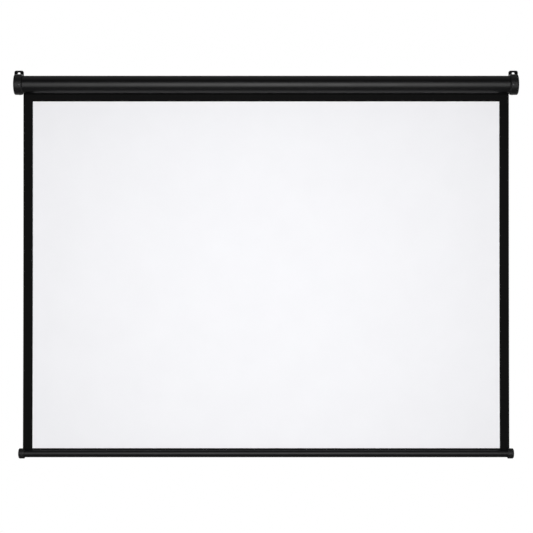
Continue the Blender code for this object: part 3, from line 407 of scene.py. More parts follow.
zinc_plate = mix_metal("bright_zinc_plate", "#BBBEC3", 0.28, patch=(2, 2, 2))
black_zinc = mix_metal("black_zinc_plate", "#48484A", 0.42, patch=(2, 2, 2))
drawn_steel = mix_metal("drawn_steel", "#9A9B9D", 0.33, patch=(40, 0.5, 0.5))
spring_steel = mix_metal("oiled_spring_steel", "#4C4B4B", 0.30, patch=(5, 5, 5))

galvanised, tree, shader = start_finish("galvanised_steel", "#9DA1A5", 0.42, metallic=1.0)
crystals = node(
    tree, "ShaderNodeTexVoronoi", {"Scale": 1 / (CRYSTAL_SIZE * MM)}, {"Vector": object_place(tree)}
)
greys = node(tree, "ShaderNodeSeparateColor", links={"Color": crystals.outputs["Color"]}).outputs["Red"]
drift_colour(tree, shader, greys, "#868A8F", "#B3B6B9")
vary_gloss(tree, shader, greys, 0.42, swing=0.08, part=PATTERN_WHOLE)
print([m.name for m in (zinc_plate, black_zinc, drawn_steel, spring_steel, galvanised)])

# %% [markdown]
# ## The plastics inside
# The roller's plugs and the spring's collar and anchor are grey moulded nylon, and the bush at the
# running end is natural nylon, a warm off-white. Both have the faint flow marks of moulding.

# %% Mix the two nylons
def mix_nylon(name, colour, second_colour, roughness):
    nylon, tree, shader = start_finish(name, colour, roughness)
    flow = noise(tree, object_place(tree), size=12, detail=2, distortion=1.5)
    drift_colour(tree, shader, flow, colour, second_colour)
    vary_gloss(tree, shader, flow, roughness, swing=0.06, part=PATTERN_WHOLE)
    return nylon


grey_nylon = mix_nylon("grey_moulded_nylon", "#6A6B6D", "#5F6062", 0.48)
natural_nylon = mix_nylon("undyed_nylon", "#D6D1C3", "#CCC6B6", 0.42)
print(grey_nylon.name, natural_nylon.name)

# %% [markdown]
# ## How a piece is finished
# Each new piece is drawn in millimetres about its own axis, as on a lathe, and then scaled to
# metres and moved to its place. It rides on a body of the model and stands for the plain solid
# there. Its faces are shaded smooth, apart from the edges that are sharp on the real piece.

# %% Define the steps that every piece shares
SHARP_ANGLE = math.radians(32)
MERGE_DISTANCE = 0.001


def make_object(shape, name, axis):
    bmesh.ops.transform(shape, verts=shape.verts, matrix=Matrix.Translation(axis) @ Matrix.Scale(MM, 4))
    mesh = bpy.data.meshes.new(name)
    shape.to_mesh(mesh)
    shape.free()
    piece = bpy.data.objects.new(name, mesh)
    bpy.context.scene.collection.objects.link(piece)
    return piece


def settle(piece):
    """Keeps what the piece's modifiers make as its own mesh."""
    bpy.context.view_layer.update()
    graph = bpy.context.evaluated_depsgraph_get()
    piece.data = bpy.data.meshes.new_from_object(piece.evaluated_get(graph))
    piece.modifiers.clear()


def shape_with(piece, operation, axis, *tools):
    """Joins each tool shape to the piece, or cuts it out."""
    helpers = [make_object(tool, f"{piece.name}_tool", axis) for tool in tools]
    for helper in helpers:
        step = piece.modifiers.new(helper.name, "BOOLEAN")
        step.operation, step.solver, step.object = operation, "EXACT", helper
    settle(piece)
    for helper in helpers:
        bpy.data.objects.remove(helper, do_unlink=True)


def thicken(piece, thickness):
    """Gives a sheet its wall, half of it to either side, and keeps the result."""
    wall = piece.modifiers.new("wall", "SOLIDIFY")
    wall.thickness, wall.offset, wall.use_even_offset = thickness * MM, 0, True
    settle(piece)


def hand_over(piece, body, finishes, replaced):
    for finish in finishes:
        piece.data.materials.append(finish)
    piece.data.shade_smooth()
    piece.data.set_sharp_from_angle(angle=SHARP_ANGLE)
    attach(piece, body)
    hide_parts(*replaced)
    print(f"{piece.name}: {len(piece.data.polygons)} faces on {body}, for {', '.join(replaced)}")


def polar(radius, degrees, centre=(0, 0)):
    """The point across the screen at this distance from a centre, 0 degrees being towards the wall."""
    turn = math.radians(degrees)
    return Vector((0, centre[0] + radius * math.cos(turn), centre[1] + radius * math.sin(turn)))


# %% [markdown]
# ## The case
# The case is one strip of 1.2 mm steel rolled to a tube 55 mm across. It stays open behind and
# below, where the cloth comes out, and both edges of the opening are curled inwards, so that they
# are stiff and never cut the cloth. The section is drawn by spinning a single point round the
# axis, round each curl and back along the inside. It is then drawn out along X and thickened.

# %% Roll the case
CASE_MIDDLE, CASE_WALL, CASE_HALF = 26.9, 1.2, 783.7
CURL_RADIUS, CURL_RETURN = 1.3, 4.7
SLOT_ANGLE, SLOT_HALF_ANGLE = -49.05, 20
UNDER_CAP = 763.0
SCREW_PLACE, SCREW_ANGLES = 769.0, {"front": 186, "under": -90}
SCREW_HOLE, SCREW_STEPS, CUT_PAST = 1.75, 32, 2.0
WALL_STEPS, CURL_STEPS, RETURN_STEPS = 120, 12, 3


def spin_on(shape, geometry, degrees, steps, centre=(0, 0, 0)):
    """Spins the last point of a line further round a centre and gives back its new end."""
    made = bmesh.ops.spin(
        shape, geom=geometry, cent=centre, axis=(1, 0, 0), angle=math.radians(degrees), steps=steps
    )
    return made["geom_last"]


def draw_out(shape, half_length):
    """Draws a section in the middle of the screen out to both ends."""
    bmesh.ops.remove_doubles(shape, verts=shape.verts, dist=MERGE_DISTANCE)
    bmesh.ops.translate(shape, vec=(-half_length, 0, 0), verts=shape.verts)
    grown = bmesh.ops.extrude_edge_only(shape, edges=shape.edges)["geom"]
    ends = [part for part in grown if isinstance(part, bmesh.types.BMVert)]
    bmesh.ops.translate(shape, vec=(2 * half_length, 0, 0), verts=ends)
    bmesh.ops.recalc_face_normals(shape, faces=shape.faces)


def screw_drill(angle, side, radius, low, high):
    """A round tool that points away from the roller's axis, where a cap screw sits."""
    drill = bmesh.new()
    bmesh.ops.create_cone(
        drill, cap_ends=True, segments=SCREW_STEPS, radius1=radius, radius2=radius, depth=high - low
    )
    bmesh.ops.translate(drill, vec=(0, 0, (low + high) / 2), verts=drill.verts)
    bmesh.ops.rotate(drill, verts=drill.verts, matrix=Matrix.Rotation(math.radians(angle - 90), 3, "X"))
    bmesh.ops.translate(drill, vec=(side * SCREW_PLACE, 0, 0), verts=drill.verts)
    return drill


shape = bmesh.new()
first = SLOT_ANGLE + SLOT_HALF_ANGLE
start = shape.verts.new(polar(CASE_MIDDLE, first))
wall_end = spin_on(shape, [start], 360 - 2 * SLOT_HALF_ANGLE, WALL_STEPS)
for edge, angle, way in (([start], first, -1), (wall_end, first - 2 * SLOT_HALF_ANGLE, 1)):
    curl_end = spin_on(shape, edge, 180 * way, CURL_STEPS, polar(CASE_MIDDLE - CURL_RADIUS, angle))
    spin_on(shape, curl_end, -CURL_RETURN * way, RETURN_STEPS)
draw_out(shape, CASE_HALF)
for side in SIDES.values():
    bmesh.ops.bisect_plane(
        shape, geom=shape.verts[:] + shape.edges[:] + shape.faces[:],
        plane_co=(side * UNDER_CAP, 0, 0), plane_no=(1, 0, 0),
    )
case_shell = make_object(shape, "rolled_case", AXIS)
thicken(case_shell, CASE_WALL)
drills = [
    screw_drill(angle, side, SCREW_HOLE, CASE_MIDDLE - CUT_PAST, CASE_MIDDLE + CUT_PAST)
    for side in SIDES.values() for angle in SCREW_ANGLES.values()
]
shape_with(case_shell, "DIFFERENCE", AXIS, *drills)
hand_over(case_shell, "case", [case_coat], ["case_tube"])

# %% [markdown]
# ## The end caps
# Each end cap is one moulding. Its body is turned: a shallow dome and a rounded rim outside, a
# seat for the tube, a spigot that reaches into the tube, and a boss in the middle that holds the
# roller's end. A flat tab behind it has the hole for the wall hook, and a web joins the two. So
# the body is spun from one profile, and the rest is joined to it and cut from it, as a toolmaker
# adds to and cuts a mould.

# %% Turn the body of a cap
CAP_STEPS = 128
CAP_START, CAP_TAPER, CAP_RADIUS, CAP_BORE = 760.0, 2.8, 32.2, 27.8
CAP_EDGE_WALL, CAP_EDGE_ROUND = 0.9, 0.3
CAP_APEX, CAP_FLAT_RADIUS = 788.9, 13
RIM_MIDDLE, RIM_ROUND, RIM_START, RIM_POINTS = (782.5, 27.9), 4.3, 15, 10
DOME_POINTS, DOME_CURVE = 8, 1.4
CAP_SEAT, SPIGOT_START, SPIGOT_RADIUS, SPIGOT_LEAD_IN, CUP_RADIUS = 784.0, 763.5, 26.0, 0.8, 23.6
BOSS_START, BOSS_RADIUS, BOSS_CHAMFER = 769.6, 11.3, 0.4
BUSH_SEAT_RADIUS, BUSH_SEAT_END = 7.3, 783.9
SOCKET_DEPTH, SOCKET_HALF = 14.5, 3.8


def turn_steps(start, end, count):
    return [start + (end - start) * i / count for i in range(count + 1)]


def turn_profile(profile, steps):
    """Spins a line of (along, radius) points into a solid about the X axis."""
    shape = bmesh.new()
    corners = [shape.verts.new((along, 0, radius)) for along, radius in profile]
    line = [shape.edges.new(pair) for pair in zip(corners, corners[1:])]
    bmesh.ops.spin(
        shape, geom=corners + line, cent=(0, 0, 0), axis=(1, 0, 0), angle=2 * math.pi, steps=steps,
        use_merge=True,
    )
    bmesh.ops.remove_doubles(shape, verts=shape.verts, dist=MERGE_DISTANCE)
    bmesh.ops.recalc_face_normals(shape, faces=shape.faces)
    return shape


def cap_profile(bore):
    """The cap's half section, from the crown of the dome round to the bottom of the boss's bore."""
    rim = [polar(RIM_ROUND, turn) for turn in turn_steps(RIM_START, 90, RIM_POINTS)]
    rim = [(RIM_MIDDLE[0] + p.y, RIM_MIDDLE[1] + p.z) for p in rim]
    dome = [(CAP_APEX, 0)]
    for i in range(DOME_POINTS):
        share = i / DOME_POINTS
        fall = (CAP_APEX - rim[0][0]) * share ** DOME_CURVE
        dome.append((CAP_APEX - fall, CAP_FLAT_RADIUS + (rim[0][1] - CAP_FLAT_RADIUS) * share))
    skirt = [
        (CAP_START + CAP_TAPER, CAP_RADIUS), (CAP_START, CAP_BORE + CAP_EDGE_WALL),
        (CAP_START, CAP_BORE + CAP_EDGE_ROUND), (CAP_START + CAP_EDGE_ROUND, CAP_BORE), (CAP_SEAT, CAP_BORE),
    ]
    spigot = [
        (CAP_SEAT, SPIGOT_RADIUS), (SPIGOT_START + 2 * SPIGOT_LEAD_IN, SPIGOT_RADIUS),
        (SPIGOT_START, SPIGOT_RADIUS - SPIGOT_LEAD_IN), (SPIGOT_START, CUP_RADIUS), (CAP_SEAT, CUP_RADIUS),
    ]
    boss = [
        (CAP_SEAT, BOSS_RADIUS), (BOSS_START + BOSS_CHAMFER, BOSS_RADIUS),
        (BOSS_START, BOSS_RADIUS - BOSS_CHAMFER),
    ]
    profile = dome + rim + skirt + spigot + boss
    if bore > 0:
        profile += [(BOSS_START, bore), (BUSH_SEAT_END, bore), (BUSH_SEAT_END, 0)]
    else:
        profile.append((BOSS_START, 0))
    return profile


print(f"the cap's half section has {len(cap_profile(BUSH_SEAT_RADIUS))} points")

# %% [markdown]
# ## The tab, the web and the cap's cuts
# The tab is a plate with round corners and softened edges. The web is as wide as the straight
# part of the cap and follows its round back. The cuts are the hanging hole, the opening in the
# spigot for the curled edges of the case, a notch that lets the cloth through, the two screw
# seats, and the square socket at the left end that stops the spindle from turning.

# %% Shape the tab, the web and the tools
TAB_START, TAB_END, TAB_FRONT, TAB_BACK = 762.8, 791.9, 30.0, 35.0
TAB_BOTTOM, TAB_TOP, TAB_CORNER, TAB_EDGE = -18.0, 47.6, 6.0, 0.6
TAB_CORNER_STEPS, TAB_EDGE_STEPS = 10, 3
HOLE_PLACE, HOLE_HEIGHT, HOLE_RADIUS, HOLE_CHAMFER, HOLE_STEPS = 777.35, 38.0, 4.5, 0.6, 64
WEB_START, WEB_END, WEB_BOTTOM, WEB_TOP, WEB_POINTS = 763.1, 782.5, -17.7, 32.6, 24
WEB_TOP_ANGLE, WEB_BOTTOM_ANGLE = 62, -44
RIB_COUNT, RIB_START, RIB_END, RIB_THICKNESS, RIB_INNER, RIB_OUTER = 6, 777.0, 784.3, 1.8, 9.3, 24.8
CLOTH_ROOM, CLOTH_HALF = 2.4, 761.5
SPIGOT_GAP_REACH, GAP_POINTS = 30.4, 16
SCREW_RECESS, SCREW_SEAT = 3.5, 30.8


def block(low, high):
    """A rectangular solid between two corners."""
    shape = bmesh.new()
    size = [b - a for a, b in zip(low, high)]
    middle = [(a + b) / 2 for a, b in zip(low, high)]
    bmesh.ops.create_cube(shape, size=1, matrix=Matrix.Translation(middle) @ Matrix.Diagonal((*size, 1)))
    return shape


def drawn_plate(outline, direction, depth):
    """A flat face through the outline's points, drawn out in one direction."""
    shape = bmesh.new()
    face = shape.faces.new([shape.verts.new(point) for point in outline])
    grown = bmesh.ops.extrude_face_region(shape, geom=[face])["geom"]
    ends = [part for part in grown if isinstance(part, bmesh.types.BMVert)]
    bmesh.ops.translate(shape, vec=Vector(direction) * depth, verts=ends)
    bmesh.ops.recalc_face_normals(shape, faces=shape.faces)
    return shape


def tab_plate():
    shape = block((TAB_START, TAB_FRONT, TAB_BOTTOM), (TAB_END, TAB_BACK, TAB_TOP))
    corners = [e for e in shape.edges if abs(e.verts[0].co.y - e.verts[1].co.y) > 1]
    bmesh.ops.bevel(
        shape, geom=corners, offset=TAB_CORNER, segments=TAB_CORNER_STEPS, profile=0.5, affect="EDGES",
        material=-1,
    )
    front = [e for e in shape.edges if all(v.co.y < TAB_FRONT + MERGE_DISTANCE for v in e.verts)]
    bmesh.ops.bevel(
        shape, geom=front, offset=TAB_EDGE, segments=TAB_EDGE_STEPS, profile=0.5, affect="EDGES", material=-1
    )
    return shape


def tab_web():
    middle = (TAB_FRONT + TAB_BACK) / 2
    inside_skirt = (CAP_BORE + CAP_RADIUS) / 2
    turns = turn_steps(WEB_TOP_ANGLE, WEB_BOTTOM_ANGLE, WEB_POINTS)
    outline = [polar(inside_skirt, turn) for turn in turns]
    outline += [(0, middle, WEB_BOTTOM), (0, middle, WEB_TOP), (0, TAB_FRONT, WEB_TOP)]
    shape = drawn_plate(outline, (1, 0, 0), WEB_END - WEB_START)
    bmesh.ops.translate(shape, vec=(WEB_START, 0, 0), verts=shape.verts)
    return shape


def cap_ribs():
    shape = bmesh.new()
    for i in range(RIB_COUNT):
        rib = bmesh.ops.create_cube(shape, size=1)["verts"]
        bmesh.ops.scale(shape, vec=(RIB_END - RIB_START, RIB_THICKNESS, RIB_OUTER - RIB_INNER), verts=rib)
        bmesh.ops.translate(shape, vec=((RIB_START + RIB_END) / 2, 0, (RIB_INNER + RIB_OUTER) / 2), verts=rib)
        turn = math.radians(RIM_START - 90 + 360 * i / RIB_COUNT)
        bmesh.ops.rotate(shape, verts=rib, matrix=Matrix.Rotation(turn, 3, "X"))
    return shape


def hanging_hole():
    front, back, wide = TAB_FRONT - CUT_PAST, TAB_BACK + CUT_PAST, HOLE_RADIUS + HOLE_CHAMFER
    shape = turn_profile([
        (front, 0), (front, wide), (TAB_FRONT, wide), (TAB_FRONT + HOLE_CHAMFER, HOLE_RADIUS),
        (TAB_BACK - HOLE_CHAMFER, HOLE_RADIUS), (TAB_BACK, wide), (back, wide), (back, 0),
    ], HOLE_STEPS)
    turn = Matrix.Translation((HOLE_PLACE, 0, HOLE_HEIGHT)) @ Matrix.Rotation(math.pi / 2, 4, "Z")
    bmesh.ops.transform(shape, verts=shape.verts, matrix=turn)
    return shape


def spigot_gap():
    """The sector of the spigot that makes room for the curled edges of the case."""
    turns = turn_steps(SLOT_ANGLE - SPIGOT_GAP_REACH, SLOT_ANGLE + SPIGOT_GAP_REACH, GAP_POINTS)
    outline = [polar((CAP_BORE + SPIGOT_RADIUS) / 2, turn) for turn in turns]
    outline += [polar(CUP_RADIUS - CUT_PAST, turn) for turn in reversed(turns)]
    shape = drawn_plate(outline, (1, 0, 0), RIB_END - SPIGOT_START + CUT_PAST)
    bmesh.ops.translate(shape, vec=(SPIGOT_START - CUT_PAST, 0, 0), verts=shape.verts)
    return shape


def cap_cuts(side):
    cuts = [hanging_hole(), spigot_gap(), block(
        (CAP_START - CUT_PAST, CLOTH_PLANE - CLOTH_ROOM, -CAP_RADIUS - CUT_PAST),
        (CLOTH_HALF + CLOTH_ROOM, CLOTH_PLANE + CLOTH_ROOM, -CAP_BORE / 2),
    )]
    for angle in SCREW_ANGLES.values():
        cuts.append(screw_drill(angle, 1, SCREW_HOLE, CUP_RADIUS - CUT_PAST, CAP_RADIUS + CUT_PAST))
        cuts.append(screw_drill(angle, 1, SCREW_RECESS, SCREW_SEAT, CAP_RADIUS + CUT_PAST))
    if side < 0:
        low, high = BOSS_START - CUT_PAST, BOSS_START + SOCKET_DEPTH
        cuts.append(block((low, -SOCKET_HALF, -SOCKET_HALF), (high, SOCKET_HALF, SOCKET_HALF)))
    return cuts


# %% Make both end caps
def for_side(shape, side):
    """Mirrors a shape that was drawn for the right-hand end, where it goes on the left."""
    if side < 0:
        bmesh.ops.scale(shape, vec=(-1, 1, 1), verts=shape.verts)
        bmesh.ops.reverse_faces(shape, faces=shape.faces)
    return shape


for end, side in SIDES.items():
    body = for_side(turn_profile(cap_profile(BUSH_SEAT_RADIUS if side > 0 else 0), CAP_STEPS), side)
    cap = make_object(body, f"moulded_cap_{end}", AXIS)
    shape_with(cap, "UNION", AXIS, *[for_side(s, side) for s in (tab_plate(), tab_web(), cap_ribs())])
    shape_with(cap, "DIFFERENCE", AXIS, *[for_side(cut, side) for cut in cap_cuts(side)])
    for face in cap.data.polygons:
        place = (face.center - AXIS) / MM
        if place.y > TAB_FRONT - MERGE_DISTANCE:
            face.material_index = 1
    hand_over(cap, "case", [cap_moulding, grained_moulding], [f"end_cap_{end}"])

# %% [markdown]
# ## The cap screws
# Two pan-head screws hold each cap on the case, one in front and one below. Their zinc plate is
# passivated black, so the front ones show only as faint dots in the middle of the caps. The head
# is spun from its profile, and the cross recess is cut by two tapered blades.

# %% Turn the screws and cut their crosses
HEAD_SEAT, HEAD_RADIUS, HEAD_HEIGHT, HEAD_CROWN, HEAD_POINTS = 31.1, 3.2, 1.9, 0.95, 6
SHANK_RADIUS, SHANK_PAST_SPIGOT, SHANK_TIP = 1.45, 0.6, 1.6
CROSS_DEPTH, CROSS_THICKNESS, CROSS_WIDTH, CROSS_TAPER = 1.4, 0.7, 3.4, (1, 0.8, 0.45)


def pan_head_screw():
    top, tip = HEAD_SEAT + HEAD_HEIGHT, CUP_RADIUS - SHANK_PAST_SPIGOT
    crown = [polar(1, turn) for turn in turn_steps(0, 90, HEAD_POINTS)]
    head = [(top - HEAD_CROWN * (1 - p.z), HEAD_RADIUS * p.y) for p in crown]
    shank = [(tip, 0), (tip + SHANK_TIP, SHANK_RADIUS), (HEAD_SEAT, SHANK_RADIUS), (HEAD_SEAT, HEAD_RADIUS)]
    return turn_profile(shank + head, SCREW_STEPS)


def cross_blade(turn):
    top = HEAD_SEAT + HEAD_HEIGHT
    blade = block(
        (top - CROSS_DEPTH, -CROSS_THICKNESS / 2, -CROSS_WIDTH / 2),
        (top + CUT_PAST, CROSS_THICKNESS / 2, CROSS_WIDTH / 2),
    )
    deep = [v for v in blade.verts if v.co.x < top]
    bmesh.ops.scale(blade, vec=CROSS_TAPER, verts=deep)
    bmesh.ops.rotate(blade, verts=blade.verts, matrix=Matrix.Rotation(turn, 3, "X"))
    return blade


for end, side in SIDES.items():
    for label, angle in SCREW_ANGLES.items():
        screw = make_object(pan_head_screw(), f"pan_screw_{label}_{end}", (0, 0, 0))
        shape_with(screw, "DIFFERENCE", (0, 0, 0), cross_blade(math.pi / 4), cross_blade(-math.pi / 4))
        outwards = Matrix.Rotation(math.radians(angle), 4, "X") @ Matrix.Rotation(math.pi / 2, 4, "Z")
        screw.data.transform(Matrix.Translation(AXIS + Vector((side * SCREW_PLACE * MM, 0, 0))) @ outwards)
        hand_over(screw, "case", [black_zinc], [f"cap_screw_{label}_{end}"])

# %% [markdown]
# ## The hanging cloth
# The cloth hangs straight from the back of the roller to the bar. It is one grid whose lines meet
# the edge of the printed border exactly, given a body by a solidify step, so white face, black
# border and black back are faces of one sheet. It is never quite flat: its sides draw in by a
# fraction of a millimetre where they hang free, and slow waves run down it.

# %% Hang the cloth
PICTURE_HALF = 731.5
CLOTH_TOP, PICTURE_TOP, PICTURE_BOTTOM, CLOTH_BOTTOM = -0.3, -51.0, -1138.0, -1142.4
CLOTH_THICKNESS, CLOTH_FRONT = 0.45, 17.80
CLOTH_CELLS_ACROSS, CLOTH_CELLS_DOWN = 48, 36
WAIST, FLARE = 0.3, 0.7
WAVES = ((0.5, 4.1, 1.3, 0.0), (0.3, 9.7, -2.4, 1.0))


def hang_freely(point):
    """Moves a point of the flat cloth to where it hangs, between the roller and the bar.

    Each wave has a height in millimetres, its radians over half the width and down the whole
    drop, and the radian at which it starts.
    """
    down = (CLOTH_TOP - point.z) / (CLOTH_TOP - CLOTH_BOTTOM)
    free = math.sin(math.pi * down)
    across = point.x / CLOTH_HALF
    wave = sum(height * math.sin(a * across + d * down + start) for height, a, d, start in WAVES)
    point.y += free * wave
    point.x += across * (FLARE * down ** 3 - WAIST * free)


def map_cloth(shape, place):
    """Lays the weave's map over every face, in metres of cloth."""
    layer = shape.loops.layers.uv.new(CLOTH_MAP)
    for face in shape.faces:
        for corner in face.loops:
            corner[layer].uv = Vector(place(corner.vert)) * MM


shape = bmesh.new()
middle = (CLOTH_TOP + CLOTH_BOTTOM) / 2
size = Matrix.Diagonal((CLOTH_HALF, CLOTH_TOP - middle, 1, 1))
stand = Matrix.Translation((0, CLOTH_FRONT, middle)) @ Matrix.Rotation(math.pi / 2, 4, "X")
bmesh.ops.create_grid(
    shape, x_segments=CLOTH_CELLS_ACROSS, y_segments=CLOTH_CELLS_DOWN, size=1, matrix=stand @ size
)
for place, line in (
    ((PICTURE_HALF, 0, 0), (1, 0, 0)), ((-PICTURE_HALF, 0, 0), (1, 0, 0)),
    ((0, 0, PICTURE_TOP), (0, 0, 1)), ((0, 0, PICTURE_BOTTOM), (0, 0, 1)),
):
    whole = shape.verts[:] + shape.edges[:] + shape.faces[:]
    bmesh.ops.bisect_plane(shape, geom=whole, plane_co=place, plane_no=line)
for face in shape.faces:
    centre = face.calc_center_median()
    in_picture = abs(centre.x) < PICTURE_HALF and PICTURE_BOTTOM < centre.z < PICTURE_TOP
    face.material_index = 0 if in_picture else 1
bmesh.ops.solidify(shape, geom=shape.faces[:], thickness=CLOTH_THICKNESS)
print("y of the sheet:", sorted({round(v.co.y, 3) for v in shape.verts}))
map_cloth(shape, lambda vert: (vert.co.x, vert.co.z))
for face in shape.faces:
    if abs(face.normal.y) < 0.5:
        face.material_index = 1
    elif face.calc_center_median().y > CLOTH_FRONT + CLOTH_THICKNESS / 2:
        face.material_index = 2
for vert in shape.verts:
    hang_freely(vert.co)
cloth = make_object(shape, "hanging_cloth", AXIS)
hand_over(
    cloth, "case", [white_face, black_ink, black_coat],
    ["screen_fabric", "masking_border", "black_backing"],
)
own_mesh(cloth)

# %% [markdown]
# ## The turns on the roller
# Two spare turns of cloth stay on the roller when the screen is down. The black back of the cloth
# faces outwards there. A point is spun twice round the roller, and each copy is then moved a
# little closer to the axis, so the circle becomes a spiral. It closes in fastest at first, so that
# the hanging cloth stays clear of it when the roller has turned.

# %% Wind the spare turns
TURNS, STEPS_PER_TURN, TURN_STEP = 2, 64, 0.5
LEAD_TURN, LEAD_IN = 0.2, 0.55


def walk(shape):
    """The points of an open line in their order along it, from the end that was drawn first."""
    line = [next(vert for vert in shape.verts if len(vert.link_edges) == 1)]
    while True:
        nearby = [edge.other_vert(line[-1]) for edge in line[-1].link_edges]
        onwards = [vert for vert in nearby if vert not in line[-2:]]
        if not onwards:
            return line
        line.append(onwards[0])


def mark_run(shape):
    """Stores how far along the line each of its points lies, and gives back the whole length."""
    run = shape.verts.layers.float.new("run")
    distance, line = 0.0, walk(shape)
    for before, point in zip(line, line[1:]):
        distance += (point.co - before.co).length
        point[run] = distance
    return distance


def map_drawn_cloth(shape):
    run = shape.verts.layers.float["run"]
    map_cloth(shape, lambda vert: (vert.co.x, vert[run]))


shape = bmesh.new()
start = shape.verts.new((0, CLOTH_PLANE, 0))
spin_on(shape, [start], 360 * TURNS, TURNS * STEPS_PER_TURN)
for i, vert in enumerate(walk(shape)):
    turned = i / STEPS_PER_TURN
    inwards = LEAD_IN * min(turned / LEAD_TURN, 1) + TURN_STEP * max(turned - LEAD_TURN, 0)
    vert.co = vert.co.normalized() * (CLOTH_PLANE - inwards)
wound_length = mark_run(shape)
draw_out(shape, CLOTH_HALF)
map_drawn_cloth(shape)
wound = make_object(shape, "wound_cloth", AXIS)
thicken(wound, CLOTH_THICKNESS)
hand_over(wound, "roller", [black_coat], ["fabric_wraps"])

# %% [markdown]
# ## The weighted bar
# The bar is a round steel tube with a slot along its top. The hem of the cloth goes through the
# slot and round a steel rod, which is too thick to come out again. It is rolled in the same way
# as the case, and its two caps are spun like the end caps.

# %% Roll the bar
BAR_MIDDLE, BAR_WALL, BAR_HALF, BAR_SLOT, BAR_STEPS = 11.4, 1.2, 771.8, 4.0, 96

shape = bmesh.new()
mouth = math.degrees(math.asin(BAR_SLOT / 2 / BAR_MIDDLE))
start = shape.verts.new(polar(BAR_MIDDLE, 90 + mouth))
spin_on(shape, [start], 360 - 2 * mouth, BAR_STEPS)
draw_out(shape, BAR_HALF)
bar = make_object(shape, "slotted_bar", BAR_AXIS)
thicken(bar, BAR_WALL)
hand_over(bar, "bar", [bar_coat], ["bar_tube"])

# %% Turn the bar caps
BAR_CAP_START, BAR_CAP_SEAT, BAR_CAP_END, BAR_CAP_RADIUS, BAR_CAP_BORE = 756.3, 772.1, 775.6, 16.0, 12.3
BAR_DOME, BAR_FLAT_RADIUS, BAR_DOME_POINTS, BAR_CAP_CHAMFER, BAR_CAP_STEPS = 4.5, 9.0, 12, 1.0, 96
BAR_SPIGOT_START, BAR_SPIGOT_RADIUS, BAR_CUP_RADIUS, BAR_LEAD_IN = 763.3, 10.5, 8.5, 0.6
BAR_NOTCH_ROOM = 1.2


def bar_cap():
    crown = BAR_CAP_RADIUS - BAR_FLAT_RADIUS
    quarter = [polar(1, turn) for turn in turn_steps(0, 90, BAR_DOME_POINTS)]
    dome = [(BAR_CAP_END - BAR_DOME * (1 - p.y), BAR_FLAT_RADIUS + crown * p.z) for p in quarter]
    start, seat = BAR_CAP_START, BAR_CAP_SEAT
    skirt = [
        (start + BAR_CAP_CHAMFER, BAR_CAP_RADIUS), (start, BAR_CAP_RADIUS - BAR_CAP_CHAMFER),
        (start, BAR_CAP_BORE + CAP_EDGE_ROUND), (start + CAP_EDGE_ROUND, BAR_CAP_BORE), (seat, BAR_CAP_BORE),
    ]
    spigot = [
        (seat, BAR_SPIGOT_RADIUS), (BAR_SPIGOT_START + BAR_LEAD_IN, BAR_SPIGOT_RADIUS),
        (BAR_SPIGOT_START, BAR_SPIGOT_RADIUS - BAR_LEAD_IN), (BAR_SPIGOT_START, BAR_CUP_RADIUS),
        (seat, BAR_CUP_RADIUS), (seat, 0),
    ]
    return turn_profile([(BAR_CAP_END, 0)] + dome + skirt + spigot, BAR_CAP_STEPS)


def hem_notch():
    """Where the hem of the cloth passes through the inner end of a cap."""
    low = (BAR_CAP_START - CUT_PAST, -BAR_NOTCH_ROOM, BAR_MIDDLE - BAR_WALL / 2)
    return block(low, (CLOTH_HALF + BAR_NOTCH_ROOM, BAR_NOTCH_ROOM, BAR_CAP_RADIUS + CUT_PAST))


for end, side in SIDES.items():
    cap = make_object(for_side(bar_cap(), side), f"bar_end_{end}", BAR_AXIS)
    shape_with(cap, "DIFFERENCE", BAR_AXIS, for_side(hem_notch(), side))
    hand_over(cap, "bar", [cap_moulding], [f"bar_cap_{end}"])

# %% [markdown]
# ## The hem
# The last of the cloth is folded back round the rod and welded to itself, so two layers rise
# through the slot. The fold is one line again: down one side, round the rod and up the other.

# %% Fold the hem round the rod
ROD_HEIGHT, HEM_MIDDLE, LAYER_OFFSET, STEM_TOP, HEM_STEPS = 7.09, 3.525, 0.235, 12.0, 40

shape = bmesh.new()
neck = math.degrees(math.asin(LAYER_OFFSET / HEM_MIDDLE))
top = shape.verts.new((0, -LAYER_OFFSET, STEM_TOP))
loop_start = shape.verts.new(polar(HEM_MIDDLE, 90 + neck, (0, ROD_HEIGHT)))
shape.edges.new((top, loop_start))
loop_end = spin_on(shape, [loop_start], 360 - 2 * neck, HEM_STEPS, (0, 0, ROD_HEIGHT))
last = shape.verts.new((0, LAYER_OFFSET, STEM_TOP))
shape.edges.new((*loop_end, last))
hem_length = mark_run(shape)
draw_out(shape, CLOTH_HALF)
map_drawn_cloth(shape)
hem = make_object(shape, "folded_hem", BAR_AXIS)
thicken(hem, CLOTH_THICKNESS)
hand_over(hem, "bar", [black_ink], ["fabric_hem"])
print(f"{wound_length:.1f} mm is wound and {hem_length:.1f} mm folded")

# %% [markdown]
# ## The torsion spring
# The spring is steel wire wound on a mandrel. A circle of points is spun round the axis and moved
# along it by one step at a time, which is how a coiling machine feeds wire.

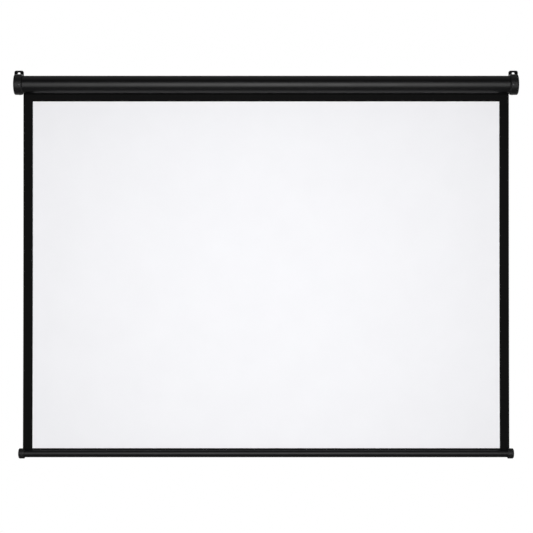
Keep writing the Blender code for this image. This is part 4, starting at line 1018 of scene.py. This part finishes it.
# %% Wind the spring
SPRING_RADIUS, WIRE_RADIUS, SPRING_TURNS, SPRING_PITCH, SPRING_START = 10.0, 1.2, 30, 5.0, -728.8
STEPS_PER_COIL, WIRE_SIDES = 20, 10

shape = bmesh.new()
wire = bmesh.ops.create_circle(shape, cap_ends=True, segments=WIRE_SIDES, radius=WIRE_RADIUS)["verts"]
across_x = Matrix.Translation((SPRING_START, SPRING_RADIUS, 0))
bmesh.ops.transform(shape, verts=wire, matrix=across_x)
bmesh.ops.spin(
    shape, geom=shape.verts[:] + shape.edges[:] + shape.faces[:], cent=(0, 0, 0), axis=(1, 0, 0),
    dvec=(SPRING_PITCH / STEPS_PER_COIL, 0, 0), angle=2 * math.pi * SPRING_TURNS,
    steps=SPRING_TURNS * STEPS_PER_COIL,
)
bmesh.ops.recalc_face_normals(shape, faces=shape.faces)
spring = make_object(shape, "wound_spring", AXIS)
hand_over(spring, "case", [spring_steel], ["torsion_spring"])

# %% [markdown]
# ## The pieces that keep their CAD shape
# The lock, the spindle, the roller and their small parts are hidden inside the case and the caps.
# Their solids already have the right shape, so they only get the finish of the real part.

# %% Finish the carried-over solids
carried = {
    galvanised: ["roller_tube"],
    grey_nylon: ["roller_head", "idle_plug", "spring_collar", "spring_anchor"],
    natural_nylon: ["idle_bush"],
    zinc_plate: ["ratchet_wheel", "pawl_upper", "pawl_lower", "hem_rod"],
    drawn_steel: ["spindle", "idle_pin", "collar_pin", "pawl_pin_upper", "pawl_pin_lower"],
    spring_steel: ["spindle_clip"],
}
for finish, names in carried.items():
    for name in names:
        for slot in nodes[name].material_slots:
            slot.material = finish
    print(f"{finish.name}: {', '.join(names)}")

# %% [markdown]
# ## The size
# The dressed model should keep to the box of the CAD model, apart from a little cloth. The cell below prints
# how far each corner of the dressed model's box lies from the CAD model's box.

# %% Print how far the boxes differ
dressed_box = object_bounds()
for corner, dressed in zip(cad_box, dressed_box):
    print("grown by", [round((b - a) / MM, 2) for a, b in zip(corner, dressed)], "mm")
